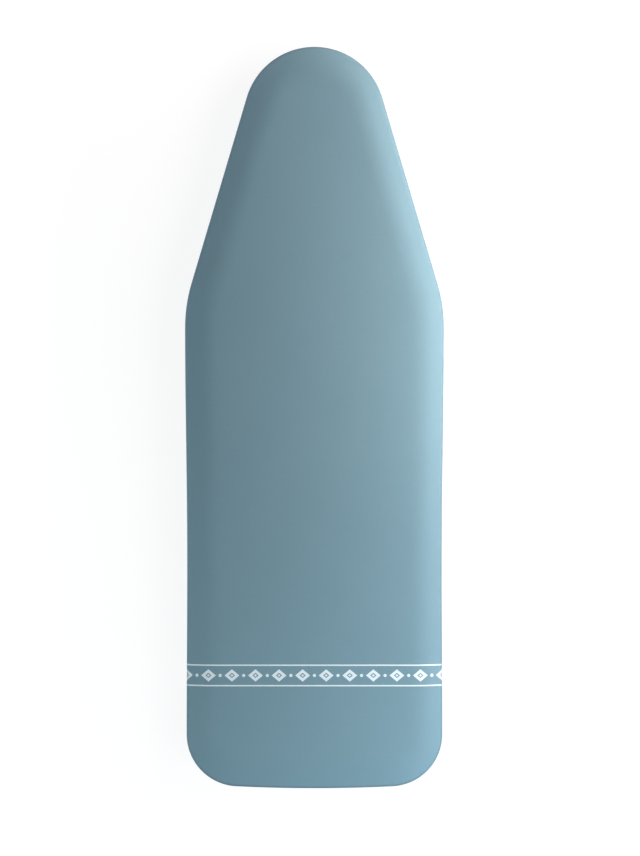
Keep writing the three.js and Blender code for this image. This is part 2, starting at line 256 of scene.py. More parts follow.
@dataclass(frozen=True)
class CoverPlan:
    """The outline of the fitted cover seen from above."""

    length: float = 1.200
    shoulder_width: float = 0.419
    tail_width: float = 0.414
    side_draw: float = 0.002
    nose_radius: float = 0.1145
    shoulder_setback: float = 0.454
    shoulder_radius: float = 0.250
    tail_corner_radius: float = 0.0845
    tail_edge_radius: float = 2.600
    nose_gathers: int = 5
    corner_gathers: int = 3
    shoulder_gather: float = 0.25
    gather_reach: int = 25
    spine: tuple[float, float] = (-0.395, 0.425)

    @property
    def nose_centre(self) -> np.ndarray:
        """Centre of the nose's round."""
        return np.array([0.0, self.length / 2 - self.nose_radius])

    @property
    def shoulder_centre(self) -> np.ndarray:
        """Centre of the right shoulder's round."""
        across = self.shoulder_width / 2 - self.shoulder_radius
        return np.array([across, self.length / 2 - self.shoulder_setback])

    @property
    def tail_centre(self) -> np.ndarray:
        """Centre of the tail edge's slow curve."""
        return np.array([0.0, self.tail_edge_radius - self.length / 2])

    @property
    def tail_angle(self) -> float:
        """Half the angle that the tail edge spans."""
        reach = self.tail_edge_radius - self.tail_corner_radius
        return math.asin((self.tail_width / 2 - self.tail_corner_radius) / reach)

    @property
    def corner_centre(self) -> np.ndarray:
        """Centre of the right tail corner's round."""
        reach = self.tail_edge_radius - self.tail_corner_radius
        return self.tail_centre + reach * np.array([math.sin(self.tail_angle), -math.cos(self.tail_angle)])

    @property
    def strap_stations(self) -> np.ndarray:
        """Where each strap crosses, evenly along the sides from the tail corners to the shoulders."""
        share = (np.arange(len(Station)) + 0.5) / len(Station)
        return lerp(self.corner_centre[1], self.shoulder_centre[1], share)

    @property
    def taper(self) -> float:
        """Angle of the nose's straight sides off the long axis."""
        away = self.shoulder_centre - self.nose_centre
        lean = math.acos((self.nose_radius - self.shoulder_radius) / float(np.hypot(*away)))
        return math.atan2(away[1], away[0]) + lean

    @staticmethod
    def _round(t: np.ndarray, centre: np.ndarray, radius: float, start: float, end: float) -> tuple:
        """Points and inward vectors at shares t of a round stretch."""
        angle = start + (end - start) * t
        out = np.column_stack([np.cos(angle), np.sin(angle)])
        return centre + radius * out, -out

    def _side(self, t: np.ndarray) -> tuple:
        """Points and inward vectors at shares t of the right long side, from the tail up."""
        low, high = self.corner_centre[1], self.shoulder_centre[1]
        width = lerp(self.tail_width, self.shoulder_width, smooth(t))
        x = width / 2 - self.side_draw * np.sin(math.pi * t) ** 2
        slope = (self.shoulder_width - self.tail_width) * 3 * t * (1 - t)
        slope = slope - self.side_draw * math.pi * np.sin(2 * math.pi * t)
        along = np.column_stack([slope, np.full_like(t, high - low)])
        along /= np.linalg.norm(along, axis=1)[:, None]
        return np.column_stack([x, lerp(low, high, t)]), np.column_stack([-along[:, 1], along[:, 0]])

    @staticmethod
    def _straight(t: np.ndarray, start: np.ndarray, end: np.ndarray) -> tuple:
        """Points and inward vectors at shares t of a straight stretch."""
        along = (end - start) / np.linalg.norm(end - start)
        return start + np.outer(t, end - start), np.tile([-along[1], along[0]], (len(t), 1))

    def _stretches(self) -> list[tuple[float, Callable, tuple, float, int]]:
        """The right half of the outline, from the tail to the nose.

        Returns:
            Each stretch's length, shape, sizes of the shape, gather, and half waves of its gathers.
        """
        quarter, turn, taper = math.pi / 2, self.tail_angle, self.taper
        out = np.array([math.cos(taper), math.sin(taper)])
        foot = self.shoulder_centre + self.shoulder_radius * out
        head = self.nose_centre + self.nose_radius * out
        tail = (self.tail_centre, self.tail_edge_radius, -quarter, turn - quarter)
        corner = (self.corner_centre, self.tail_corner_radius, turn - quarter, 0.0)
        shoulder = (self.shoulder_centre, self.shoulder_radius, 0.0, taper)
        nose = (self.nose_centre, self.nose_radius, taper, quarter)
        return [
            (self.tail_edge_radius * turn, self._round, tail, 0.0, 0),
            (self.tail_corner_radius * (quarter - turn), self._round, corner, 1.0, 2 * self.corner_gathers),
            (self.shoulder_centre[1] - self.corner_centre[1], self._side, (), 0.0, 0),
            (self.shoulder_radius * taper, self._round, shoulder, self.shoulder_gather, 0),
            (float(np.linalg.norm(head - foot)), self._straight, (foot, head), 0.0, 0),
            (self.nose_radius * (quarter - taper), self._round, nose, 1.0, self.nose_gathers),
        ]

    def sample(self, step: float, fine: float | None = None) -> PlanLoop:
        """Walks round the plan.

        Args:
            step: The longest distance between neighbouring points.
            fine: The same on the gathered rounds of the nose and the tail corners, where it differs.

        Returns:
            The points of the whole outline, alike on both sides of the long axis.
        """
        rows = []
        done = 0.0
        stretches = self._stretches()
        for number, (length, shape, sizes, strength, waves) in enumerate(stretches, 1):
            count = math.ceil(length / (fine if fine and strength == 1.0 else step))
            t = np.linspace(0, 1, count + 1)[: count + (number == len(stretches))]
            gathered = np.full_like(t, strength), np.sin(math.pi * waves * t)
            rows.append((*shape(t, *sizes), done + length * t, *gathered))
            done += length
        points, inward, travel, gather, wave = (np.concatenate(part) for part in zip(*rows))
        points[[0, -1], 0] = 0.0
        inward[0], inward[-1] = (0.0, 1.0), (0.0, -1.0)
        flip = np.array([-1.0, 1.0])
        back = slice(-2, 0, -1)
        around = np.concatenate([gather, gather[back]])
        kernel = np.hanning(2 * self.gather_reach + 1)
        padded = np.concatenate([around[-self.gather_reach :], around, around[: self.gather_reach]])
        return PlanLoop(
            points=np.vstack([points, points[back] * flip]),
            inward=np.vstack([inward, inward[back] * flip]),
            travel=np.concatenate([travel, 2 * done - travel[back]]),
            gather=np.convolve(padded, kernel / kernel.sum(), mode="valid"),
            wave=np.concatenate([wave, -wave[back]]),
        )


PLAN = CoverPlan()
LAYERS = Layers()


@dataclass(frozen=True)
class HemRuffle:
    """How the elastic draws up the hem, for the cotton's end, the binding, the elastic and the stitches.

    Attributes:
        straight_depth: Height of the waves on the straights.
        round_depth: Height of the waves on the rounds.
        wander: How far the hem wanders in and out.
        waves: Span, strength and start of each wave.
        flat_half: Half the length of hem that a strap holds flat.
    """

    straight_depth: float = 0.22 * MM
    round_depth: float = 0.5 * MM
    wander: float = 0.7 * MM
    waves: tuple[tuple[float, float, float], ...] = (
        (0.0163, 1.0, 0.4),
        (0.0231, 0.8, 2.1),
        (0.0387, 0.6, 4.4),
    )
    flat_half: float = 0.021

    def sewn_flat(self, loop: PlanLoop) -> np.ndarray:
        """Near 0 where a strap is sewn on, which holds the hem flat, and 1 elsewhere."""
        free = np.ones(loop.count)
        for y in PLAN.strap_stations:
            away = np.abs(loop.points[:, 1] - y) / self.flat_half
            free *= 1 - np.exp(-(away**6))
        return free

    def _sum(self, loop: PlanLoop, shift: float) -> np.ndarray:
        """The waves along the outline, from -1 to 1."""
        turns = 2 * math.pi * loop.travel
        total = sum(a * np.sin(turns / span + start + shift) for span, a, start in self.waves)
        return total / sum(a for _, a, _ in self.waves)

    def lift(self, loop: PlanLoop) -> np.ndarray:
        """How far each place of the hem stands up, never below its rest height."""
        depth = lerp(self.straight_depth, self.round_depth, loop.gather)
        return depth * (1 + self._sum(loop, 0.0)) * self.sewn_flat(loop)

    def shift(self, loop: PlanLoop) -> np.ndarray:
        """How far each place of the hem wanders in or out."""
        return self.wander * self._sum(loop, 1.7) * self.sewn_flat(loop) * lerp(0.5, 1.0, loop.gather)

    def pucker(self, loop: PlanLoop) -> np.ndarray:
        """Fine puckers of the cotton just before the binding, from -1 to 1."""
        return self._sum(loop, 0.9) * self.sewn_flat(loop)


RUFFLE = HemRuffle()


class MeshMaker:
    """Collects vertices, faces and flat-pattern coordinates, and turns them into one object."""

    def __init__(self, name: str) -> None:
        """Starts an empty mesh for a piece of that name."""
        self.name = name
        self.vertices: list[np.ndarray] = []
        self.faces: list[list[int]] = []
        self.cut: list[np.ndarray] = []
        self.count = 0

    def ring(self, places: np.ndarray, cut: np.ndarray | None = None) -> np.ndarray:
        """Adds one row of vertices.

        Args:
            places: Their places, one a row.
            cut: Their places on the flat pattern, or None for x and y.

        Returns:
            Their numbers.
        """
        self.vertices.append(places)
        self.cut.append(places[:, :2] if cut is None else cut)
        self.count += len(places)
        return np.arange(self.count - len(places), self.count)

    def loft(self, rings: Sequence[np.ndarray], ring_around: bool = False) -> None:
        """Joins closed rows in order, and the last to the first where they run round a section."""
        for near, far in zip(rings, [*rings[1:], *rings[: int(ring_around)]]):
            self.faces += np.column_stack([near, far, np.roll(far, -1), np.roll(near, -1)]).tolist()

    def cap(self, ring: np.ndarray, reverse: bool = False) -> None:
        """Closes a row with one face."""
        self.faces.append((ring[::-1] if reverse else ring).tolist())

    def finish(self, merge: float = 0.0) -> Piece:
        """Makes the object.

        Args:
            merge: Vertices closer than this become one, where it isn't 0.

        Returns:
            The new object, linked to the scene, shaded smooth.
        """
        mesh = bpy.data.meshes.new(self.name)
        mesh.from_pydata(np.vstack(self.vertices).tolist(), [], self.faces)
        corners = np.zeros(len(mesh.loops), dtype=np.int64)
        mesh.loops.foreach_get("vertex_index", corners)
        layer = mesh.uv_layers.new(name=CUT_MAP)
        layer.uv.foreach_set("vector", np.vstack(self.cut)[corners].astype(np.float32).ravel())
        if merge > 0:
            work = bmesh.new()
            work.from_mesh(mesh)
            bmesh.ops.remove_doubles(work, verts=work.verts[:], dist=merge)
            bmesh.ops.dissolve_degenerate(work, edges=work.edges[:], dist=merge)
            work.to_mesh(mesh)
            work.free()
        mesh.polygons.foreach_set("use_smooth", np.ones(len(mesh.polygons), dtype=bool))
        mesh.update()
        return put(self.name, mesh)


def inset_ring(loop: PlanLoop, inset: Number, z: Number) -> np.ndarray:
    """Places round the plan at an inset and a height, each one number or one for each point."""
    flat = loop.points + loop.inward * np.broadcast_to(inset, loop.count)[:, None]
    return np.column_stack([flat, np.broadcast_to(z, loop.count)])


def spine_rings(edge: np.ndarray, steps: int) -> list[np.ndarray]:
    """Rows from a loop in to the spine, a line along the cover's middle.

    Args:
        edge: The loop that the rows start from, which isn't repeated.
        steps: Number of rows.

    Returns:
        The rows, the last of them on the spine itself.
    """
    spine = np.column_stack([np.zeros(len(edge)), np.clip(edge[:, 1], *PLAN.spine), edge[:, 2]])
    return [lerp(edge, spine, i / steps) for i in range(1, steps + 1)]


def run_lengths(section: np.ndarray) -> np.ndarray:
    """Distance along a line to each of its points."""
    return np.concatenate([[0.0], np.cumsum(np.hypot(*np.diff(section, axis=0).T))])


def rounded_box(half: np.ndarray, corner: float, count: int) -> np.ndarray:
    """Places round a flat rectangle, from half its sides, its corners' radius and the number of places."""
    angle = np.linspace(0, 2 * math.pi, count, endpoint=False)
    flat = np.column_stack([np.cos(angle), np.sin(angle)])
    return np.where(flat >= 0, 1.0, -1.0) * (half - corner) + flat * corner


class NodeGraph:
    """A node tree, with short ways to add and join nodes."""

    def __init__(self, tree: bpy.types.NodeTree) -> None:
        """Takes over a tree and empties it."""
        self.tree = tree
        tree.nodes.clear()

    def feed(self, socket: Socket, value: object) -> None:
        """Links a socket to another one, or sets its constant."""
        if isinstance(value, Socket):
            self.tree.links.new(value, socket)
        else:
            socket.default_value = value

    def node(self, kind: str, inputs: dict | Sequence = (), **settings: object) -> bpy.types.Node:
        """Adds a node.

        Args:
            kind: The node's type.
            inputs: Sockets or constants for its inputs, by name or number, or in order.
            settings: Its properties.

        Returns:
            The new node.
        """
        made = self.tree.nodes.new(kind)
        for name, value in settings.items():
            setattr(made, name, value)
        rows = inputs if isinstance(inputs, dict) else dict(enumerate(inputs))
        for key, value in rows.items():
            self.feed(made.inputs[key], value)
        return made

    def math(self, operation: str, *values: object) -> Socket:
        """One arithmetic step on numbers or sockets."""
        return self.node("ShaderNodeMath", values, operation=operation).outputs[0]


class ShaderGraph(NodeGraph):
    """The node tree of one material with a Principled shader."""

    def __init__(self, name: str) -> None:
        """Starts a material of that name."""
        self.material = bpy.data.materials.new(name)
        self.material.use_nodes = True
        super().__init__(self.material.node_tree)
        self.shader = self.node("ShaderNodeBsdfPrincipled")
        self.node("ShaderNodeOutputMaterial", [self.shader.outputs[0]])

    def surface(self, **values: object) -> Material:
        """Feeds the shader's inputs by name, with spaces written as underscores, and gives the material."""
        for name, value in values.items():
            self.feed(self.shader.inputs[name.replace("_", " ")], value)
        return self.material

    def mix(self, share: object, first: object, second: object) -> Socket:
        """A colour between two, by a share from 0 to 1."""
        return self.node("ShaderNodeMix", {0: share, 6: first, 7: second}, data_type="RGBA").outputs[2]

    def cut_place(self) -> Socket:
        """Places on the flat pattern, in metres."""
        return self.node("ShaderNodeUVMap", uv_map=CUT_MAP).outputs[0]

    def object_place(self) -> Socket:
        """Places in the object's own frame, in metres."""
        return self.node("ShaderNodeTexCoord").outputs["Object"]

    def noise(self, place: Socket, scale: float, detail: float = 2.0) -> Socket:
        """Soft random values from 0 to 1."""
        inputs = {"Vector": place, "Scale": scale, "Detail": detail}
        return self.node("ShaderNodeTexNoise", inputs).outputs[0]

    def streaks(self, place: Socket, scale: Sequence[float], detail: float = 3.0) -> Socket:
        """Soft random values from 0 to 1, with a scale of their own along each axis."""
        stretched = self.node("ShaderNodeMapping", {"Vector": place, "Scale": scale})
        return self.noise(stretched.outputs[0], 1.0, detail)

    def shaken(self, place: Socket, scale: float, depth: Sequence[float], centre: float) -> Socket:
        """Places moved by a random depth along each axis, where a value equal to centre moves nothing."""
        values = self.node("ShaderNodeTexNoise", {"Vector": place, "Scale": scale}).outputs["Color"]
        level = self.node("ShaderNodeVectorMath", (values, (centre,) * 3), operation="SUBTRACT").outputs[0]
        return self.node("ShaderNodeVectorMath", (level, depth, place), operation="MULTIPLY_ADD").outputs[0]

    def split(self, place: Socket) -> tuple[Socket, ...]:
        """The x, y and z of a place."""
        return tuple(self.node("ShaderNodeSeparateXYZ", [place]).outputs)

    def ramp(self, value: Socket, low: float, high: float, to: Sequence[float] = (0.0, 1.0)) -> Socket:
        """A value's range mapped to another range, kept inside it."""
        return self.node("ShaderNodeMapRange", (value, low, high, *to), clamp=True).outputs[0]

    def bump(self, height: Socket, depth: float, strength: float) -> Socket:
        """The normal of a surface out of which a height stands by a depth in metres."""
        values = {"Strength": strength, "Distance": depth, "Height": height}
        return self.node("ShaderNodeBump", values).outputs[0]

    def ridges(self, value: Socket, pitch: float) -> Socket:
        """Height of even ridges, from 0 between them to 1 on them."""
        return self.math("ABSOLUTE", self.math("SINE", self.math("MULTIPLY", value, math.pi / pitch)))

    def weighted(self, *parts: tuple[Socket, float]) -> Socket:
        """The sum of some values, each times its weight."""
        total, *others = (self.math("MULTIPLY", value, weight) for value, weight in parts)
        for other in others:
            total = self.math("ADD", total, other)
        return total


@dataclass(frozen=True)
class PrintedBorder:
    """A woven-look border printed across the tail: two rules, with lozenges and dots between them."""

    middle: float = -0.4160
    rule_offset: float = 0.0165
    rule_half: float = 0.0011
    pitch: float = 0.0380
    lozenge_half: tuple[float, float] = (0.0120, 0.0100)
    lozenge_hollow: float = 0.42
    dot_radius: float = 0.0026

    def mask(self, graph: ShaderGraph, place: Socket) -> Socket:
        """Adds the nodes of the border.

        Args:
            graph: The material's graph.
            place: Places on the flat pattern.

        Returns:
            1 where there is ink and 0 elsewhere.
        """
        do = graph.math
        across, along, _ = graph.split(place)
        up = do("ABSOLUTE", do("SUBTRACT", along, self.middle))
        rules = do("LESS_THAN", do("ABSOLUTE", do("SUBTRACT", up, self.rule_offset)), self.rule_half)
        turns = do("DIVIDE", across, self.pitch)
        near = do("ABSOLUTE", do("SUBTRACT", do("FRACT", turns), 0.5))
        side = do("MULTIPLY", near, self.pitch / self.lozenge_half[0])
        size = do("ADD", side, do("DIVIDE", up, self.lozenge_half[1]))
        frames = do("MULTIPLY", do("LESS_THAN", size, 1.0), do("GREATER_THAN", size, self.lozenge_hollow))
        cores = do("LESS_THAN", size, self.lozenge_hollow / 2)
        shifted = do("SUBTRACT", do("FRACT", do("ADD", turns, 0.5)), 0.5)
        dot_side = do("MULTIPLY", shifted, self.pitch)
        far = do("SQRT", do("ADD", do("POWER", dot_side, 2.0), do("POWER", up, 2.0)))
        dots = do("LESS_THAN", far, self.dot_radius)
        return do("MAXIMUM", rules, do("MAXIMUM", frames, do("MAXIMUM", dots, cores)))


@dataclass(frozen=True)
class CottonFinish:
    """Closely woven cotton, printed with a border. Its rolled edge, sides and underside are painted darker
    as painted shade, and the gaps between its threads are painted a little darker as painted shade.

    Attributes:
        painted_shade: The darker colour of the painted shade on the rolled edge, sides and underside.
        shade_share: How much of that painted shade the rolled edge, sides and underside take.
        shade_heights: Heights over the top of the board between which the painted shade fades out upwards.
        wear: Least and most of the ink that is left.
        fray: How far the ink runs along threads.
        relief: Depth of the weave.
    """

    name: str = "cotton_sateen"
    dark: Colour = srgb(104, 134, 146)
    light: Colour = srgb(130, 161, 173)
    painted_shade: Colour = srgb(58, 80, 92)
    shade_share: float = 0.42
    shade_heights: tuple[float, float] = (0.8 * MM, 3.4 * MM)
    ink: Colour = srgb(226, 236, 241)
    pitch: float = 0.6 * MM
    slub: tuple[float, float] = (1600.0, 45.0)
    wear: tuple[float, float] = (0.72, 1.0)
    fray: float = 0.5 * MM
    relief: float = 0.07 * MM
    roughness: tuple[float, float] = (0.78, 0.88)
    border: PrintedBorder = PrintedBorder()

    def material(self) -> Material:
        """Builds the cotton's material."""
        graph = ShaderGraph(self.name)
        place = graph.cut_place()
        across, along, _ = graph.split(place)
        threads = graph.math("MULTIPLY", graph.ridges(across, self.pitch), graph.ridges(along, self.pitch))
        warp, weft = (graph.streaks(place, (*scale, 1.0)) for scale in (self.slub, self.slub[::-1]))
        slub = graph.weighted((warp, 0.5), (weft, 0.5))
        # The tone mixes random slubs and cloud, which belong to the cloth itself, with the threads' height,
        # which paints the gaps between threads darker as painted shade.
        tone = graph.weighted((slub, 0.5), (graph.noise(place, 9.0, 3.0), 0.15), (threads, 0.35))
        colour_and_weave_shade = graph.mix(tone, self.dark, self.light)
        frayed = graph.shaken(place, 1100.0, (self.fray, self.fray, 0.0), 0.5)
        worn = graph.ramp(graph.noise(place, 900.0), 0.25, 0.6, self.wear)
        inked = graph.math("MULTIPLY", self.border.mask(graph, frayed), worn)
        # Painted shade: below these heights the colour is mixed towards a darker one, which stands in for
        # the shade on the rolled edge, sides and underside.
        low, high = (LAYERS.board_top + level for level in self.shade_heights)
        edge_shade = graph.ramp(graph.split(graph.object_place())[2], low, high, (self.shade_share, 0.0))
        return graph.surface(
            Base_Color=graph.mix(edge_shade, graph.mix(inked, colour_and_weave_shade, self.ink), self.painted_shade),
            Roughness=graph.ramp(slub, 0.3, 0.7, self.roughness),
            Normal=graph.bump(graph.weighted((threads, 0.6), (slub, 0.8)), self.relief, 0.7),
            Sheen_Weight=0.06,
            Sheen_Roughness=0.45,
            Specular_IOR_Level=0.06,
        )


@dataclass(frozen=True)
class FoamFinish:
    """Open-cell foam, cream, with small pores whose hollows are painted darker as painted shade."""

    name: str = "open_cell_foam"
    light: Colour = srgb(236, 228, 204)
    pore_shade: Colour = srgb(190, 176, 142)
    cells: float = 900.0
    relief: float = 0.2 * MM

    def material(self) -> Material:
        """Builds the foam's material."""
        graph = ShaderGraph(self.name)
        place = {"Vector": graph.object_place(), "Scale": self.cells}
        cells = graph.node("ShaderNodeTexVoronoi", place, feature="F1")
        wall = graph.ramp(cells.outputs["Distance"], 0.15, 0.6)
        return graph.surface(
            # Painted shade: the hollow of each cell is coloured darker than its walls.
            Base_Color=graph.mix(wall, self.pore_shade, self.light),
            Roughness=graph.ramp(wall, 0.0, 1.0, (0.98, 0.85)),
            Normal=graph.bump(wall, self.relief, 0.7),
            Specular_IOR_Level=0.2,
        )


@dataclass(frozen=True)
class FeltFinish:
    """Needled felt of mixed fibres, off-white with darker flecks."""

    name: str = "needled_felt"
    pale: Colour = srgb(222, 220, 212)
    grey: Colour = srgb(186, 184, 178)
    fleck: Colour = srgb(120, 134, 146)
    swirl: float = 0.016
    relief: float = 0.35 * MM

    def material(self) -> Material:
        """Builds the felt's material."""
        graph = ShaderGraph(self.name)
        place = graph.object_place()
        bent = graph.shaken(place, 55.0, (self.swirl,) * 3, 0.0)
        along, across = (graph.streaks(bent, scale) for scale in ((1100, 120, 300), (120, 1100, 300)))
        fibres = graph.math("MAXIMUM", along, across)
        cloud = graph.noise(place, 26.0, 4.0)
        patchy = graph.ramp(cloud, 0.2, 0.7, (0.6, 1.0))
        tone = graph.math("MULTIPLY", graph.ramp(fibres, 0.4, 0.75), patchy)
        specks = graph.ramp(graph.streaks(bent, (520, 90, 300), 1.0), 0.71, 0.75, (0.0, 0.7))
        return graph.surface(
            Base_Color=graph.mix(specks, graph.mix(tone, self.grey, self.pale), self.fleck),
            Roughness=graph.ramp(fibres, 0.3, 0.8, (1.0, 0.85)),
            Normal=graph.bump(graph.math("ADD", fibres, cloud), self.relief, 0.8),
            Sheen_Weight=0.2,
            Sheen_Roughness=0.6,
            Specular_IOR_Level=0.2,
        )


@dataclass(frozen=True)
class TapeFinish:
    """A narrow woven ribbon: ribs across its length, in two shades of one colour; the darker shade fills
    the grooves between the ribs as painted shade.
    """

    name: str
    dark: Colour
    light: Colour
    rib: float
    relief: float
    roughness: tuple[float, float] = (0.7, 0.85)

    def material(self) -> Material:
        """Builds the ribbon's material, with ribs along the second pattern coordinate."""
        graph = ShaderGraph(self.name)
        place = graph.cut_place()
        across, along, _ = graph.split(place)
        wales = graph.math("POWER", graph.ridges(across, self.rib), 0.6)
        picks = graph.ramp(graph.ridges(along, self.rib / 1.6), 0.0, 1.0, (0.55, 1.0))
        weave = graph.math("MULTIPLY", wales, picks)
        fuzz = graph.streaks(place, (2600, 500, 1), 2.0)
        return graph.surface(
            # Painted shade: the colour follows the ribs' height and is darker in the grooves between them,
            # with random fuzz mixed in.
            Base_Color=graph.mix(graph.weighted((weave, 0.7), (fuzz, 0.3)), self.dark, self.light),
            Roughness=graph.ramp(fuzz, 0.3, 0.7, self.roughness),
            Normal=graph.bump(weave, self.relief, 0.8),
            Sheen_Weight=0.15,
            Sheen_Roughness=0.5,
            Specular_IOR_Level=0.3,
        )


@dataclass(frozen=True)
class FibreFinish:
    """Thread, moulded hooks or loop pile: small pieces with a fine fibre grain."""

    name: str
    dark: Colour
    light: Colour
    grain: float
    roughness: tuple[float, float]
    sheen: float = 0.1
    relief: float = 0.04 * MM

    def material(self) -> Material:
        """Builds the small pieces' material."""
        graph = ShaderGraph(self.name)
        grain = graph.noise(graph.object_place(), self.grain, 3.0)
        return graph.surface(
            Base_Color=graph.mix(graph.ramp(grain, 0.3, 0.7), self.dark, self.light),
            Roughness=graph.ramp(grain, 0.2, 0.8, self.roughness),
            Normal=graph.bump(grain, self.relief, 0.5),
            Sheen_Weight=self.sheen,
            Sheen_Roughness=0.5,
            Specular_IOR_Level=0.35,
        )


FINISHES = {
    "cotton": CottonFinish(),
    "foam": FoamFinish(),
    "felt": FeltFinish(),
    "binding": TapeFinish("folded_binding", srgb(72, 98, 111), srgb(104, 133, 146), 0.7 * MM, 0.06 * MM),
    "elastic": TapeFinish("knitted_elastic", srgb(205, 203, 196), srgb(244, 243, 238), 1.1 * MM, 0.2 * MM),
    "webbing": TapeFinish("strap_webbing", srgb(66, 80, 88), srgb(104, 120, 128), 1.25 * MM, 0.22 * MM),
    "hook_tape": TapeFinish("hook_ground", srgb(44, 53, 58), srgb(66, 77, 83), 0.6 * MM, 0.05 * MM),
    "hooks": FibreFinish("nylon_hooks", srgb(68, 78, 84), srgb(112, 124, 131), 1500.0, (0.32, 0.5)),
    "loop_tape": TapeFinish("loop_ground", srgb(50, 60, 66), srgb(74, 86, 93), 0.6 * MM, 0.05 * MM),
    "loops": FibreFinish("loop_pile", srgb(80, 93, 100), srgb(128, 142, 150), 1900.0, (0.7, 0.9), 0.4),
    "thread": FibreFinish("sewing_thread", srgb(150, 176, 187), srgb(196, 214, 222), 2400, (0.5, 0.7), 0.2),
}


@dataclass(frozen=True)
class Finishes:
    """The material of every finish on the cover, each made once."""

    cotton: Material
    foam: Material
    felt: Material
    binding: Material
    elastic: Material
    webbing: Material
    hook_tape: Material
    hooks: Material
    loop_tape: Material
    loops: Material
    thread: Material

    @classmethod
    def make(cls) -> Finishes:
        """Builds all the materials."""
        return cls(**{name: finish.material() for name, finish in FINISHES.items()})


class GrowTree(NodeGraph):
    """A Geometry Nodes tree that grows many small parts on a mesh, and turns the result into a plain mesh.

    Attributes:
        label: The tree's name.
        sizes: Its named inputs, besides the mesh and the material, with their usual values.
    """

    label: str
    sizes: dict[str, float]

    def __init__(self) -> None:
        """Builds the tree: the copies are made real, shaded smooth and given their material."""
        super().__init__(bpy.data.node_groups.new(self.label, "GeometryNodeTree"))
        face = self.tree.interface
        face.new_socket("Geometry", in_out="INPUT", socket_type="NodeSocketGeometry")
        for name, value in self.sizes.items():
            kind = "NodeSocketInt" if isinstance(value, int) else "NodeSocketFloat"
            face.new_socket(name, in_out="INPUT", socket_type=kind)
        face.new_socket("Material", in_out="INPUT", socket_type="NodeSocketMaterial")
        face.new_socket("Geometry", in_out="OUTPUT", socket_type="NodeSocketGeometry")
        given = self.node("NodeGroupInput").outputs
        real = self.node("GeometryNodeRealizeInstances", [self.copies(given).outputs[0]])
        soft = self.node("GeometryNodeSetShadeSmooth", [real.outputs[0]])
        dressing = {"Geometry": soft.outputs[0], "Material": given["Material"]}
        self.node("NodeGroupOutput", [self.node("GeometryNodeSetMaterial", dressing).outputs[0]])

    def copies(self, given: bpy.types.NodeOutputs) -> bpy.types.Node:
        """Adds the nodes that set out the small parts.

        Args:
            given: The tree's inputs.

        Returns:
            The node that makes the copies.
        """
        raise NotImplementedError

    def combine(self, *values: object) -> Socket:
        """A vector from three numbers or sockets."""
        return self.node("ShaderNodeCombineXYZ", values).outputs[0]

    def tube(self, path: Socket, radius: Socket, sides: int) -> Socket:
        """A closed tube round a path."""
        wire = self.node("GeometryNodeCurvePrimitiveCircle", {"Resolution": sides, "Radius": radius})
        parts = {"Curve": path, "Profile Curve": wire.outputs[0], "Fill Caps": True}
        return self.node("GeometryNodeCurveToMesh", parts).outputs[0]

    def spin(self, low: Sequence[float], high: Sequence[float], seed: Socket) -> Socket:
        """Random turns between two limits."""
        limits = {0: low, 1: high, "Seed": seed}
        return self.node("FunctionNodeRandomValue", limits, data_type="FLOAT_VECTOR").outputs["Value"]

    def strew(self, points: Socket, part: Socket, turn: Socket, **more: Socket) -> bpy.types.Node:
        """Copies of a small part on points."""
        inputs = {"Points": points, "Instance": part, "Rotation": turn, **more}
        return self.node("GeometryNodeInstanceOnPoints", inputs)

    def grow(self, name: str, host: bpy.types.Mesh, material: Material, values: dict[str, float]) -> Piece:
        """Runs the tree on a mesh.

        Args:
            name: The new piece's name.
            host: The mesh that goes in.
            material: The material of the small parts.
            values: The named inputs that differ from their usual values.

        Returns:
            A plain mesh object with the result, and no modifier.
        """
        carrier = put(f"{name}_carrier", host)
        modifier = carrier.modifiers.new("Grow", "NODES")
        modifier.node_group = self.tree
        values = {**self.sizes, **values, "Material": material}
        for item in self.tree.interface.items_tree:
            if item.in_out == "INPUT" and item.name in values:
                modifier[item.identifier] = values[item.name]
        graph = bpy.context.evaluated_depsgraph_get()
        graph.update()
        mesh = bpy.data.meshes.new_from_object(carrier.evaluated_get(graph), depsgraph=graph)
        if mesh.materials[0] is None:
            mesh.materials.pop(index=0)
        carrier.modifiers.remove(modifier)
        bpy.data.objects.remove(carrier)
        bpy.data.meshes.remove(host)
        mesh.name = name
        return put(name, mesh)


class StitchTree(GrowTree):
    """Running stitches along lines: a bead of thread at every pitch."""

    label = "RunningStitch"
    pitch: float = 4.2 * MM
    share: float = 0.78
    sizes = {"Pitch": pitch, "Stitch length": share * pitch, "Thread radius": 0.24 * MM}

    def copies(self, given: bpy.types.NodeOutputs) -> bpy.types.Node:
        """Adds the nodes that set out the stitches."""
        curve = self.node("GeometryNodeMeshToCurve", [given["Geometry"]])
        line = {"Curve": curve.outputs[0], "Length": given["Pitch"]}
        points = self.node("GeometryNodeCurveToPoints", line, mode="LENGTH").outputs
        bead = self.node("GeometryNodeMeshUVSphere", {"Segments": 6, "Rings": 5, "Radius": 1.0})
        radius, half = given["Thread radius"], self.math("MULTIPLY", given["Stitch length"], 0.5)
        scale = self.combine(radius, radius, half)
        return self.strew(points["Points"], bead.outputs["Mesh"], points["Rotation"], Scale=scale)

    def sew(self, name: str, lines: Iterable[np.ndarray], thread: Material, pitch: float = pitch) -> Piece:
        """Sews round closed lines.

        Args:
            name: The new piece's name.
            lines: Rows of places, each one line of stitching that ends where it starts.
            thread: The thread's material.
            pitch: Distance from stitch to stitch.

        Returns:
            The stitches as one object.
        """
        places: list[list[float]] = []
        edges: list[tuple[int, int]] = []
        for line in lines:
            start, count = len(places), len(line)
            places.extend(line.tolist())
            edges.extend((start + i, start + (i + 1) % count) for i in range(count))
        host = bpy.data.meshes.new(f"{name}_lines")
        host.from_pydata(places, edges, [])
        return self.grow(name, host, thread, {"Pitch": pitch, "Stitch length": pitch * self.share})


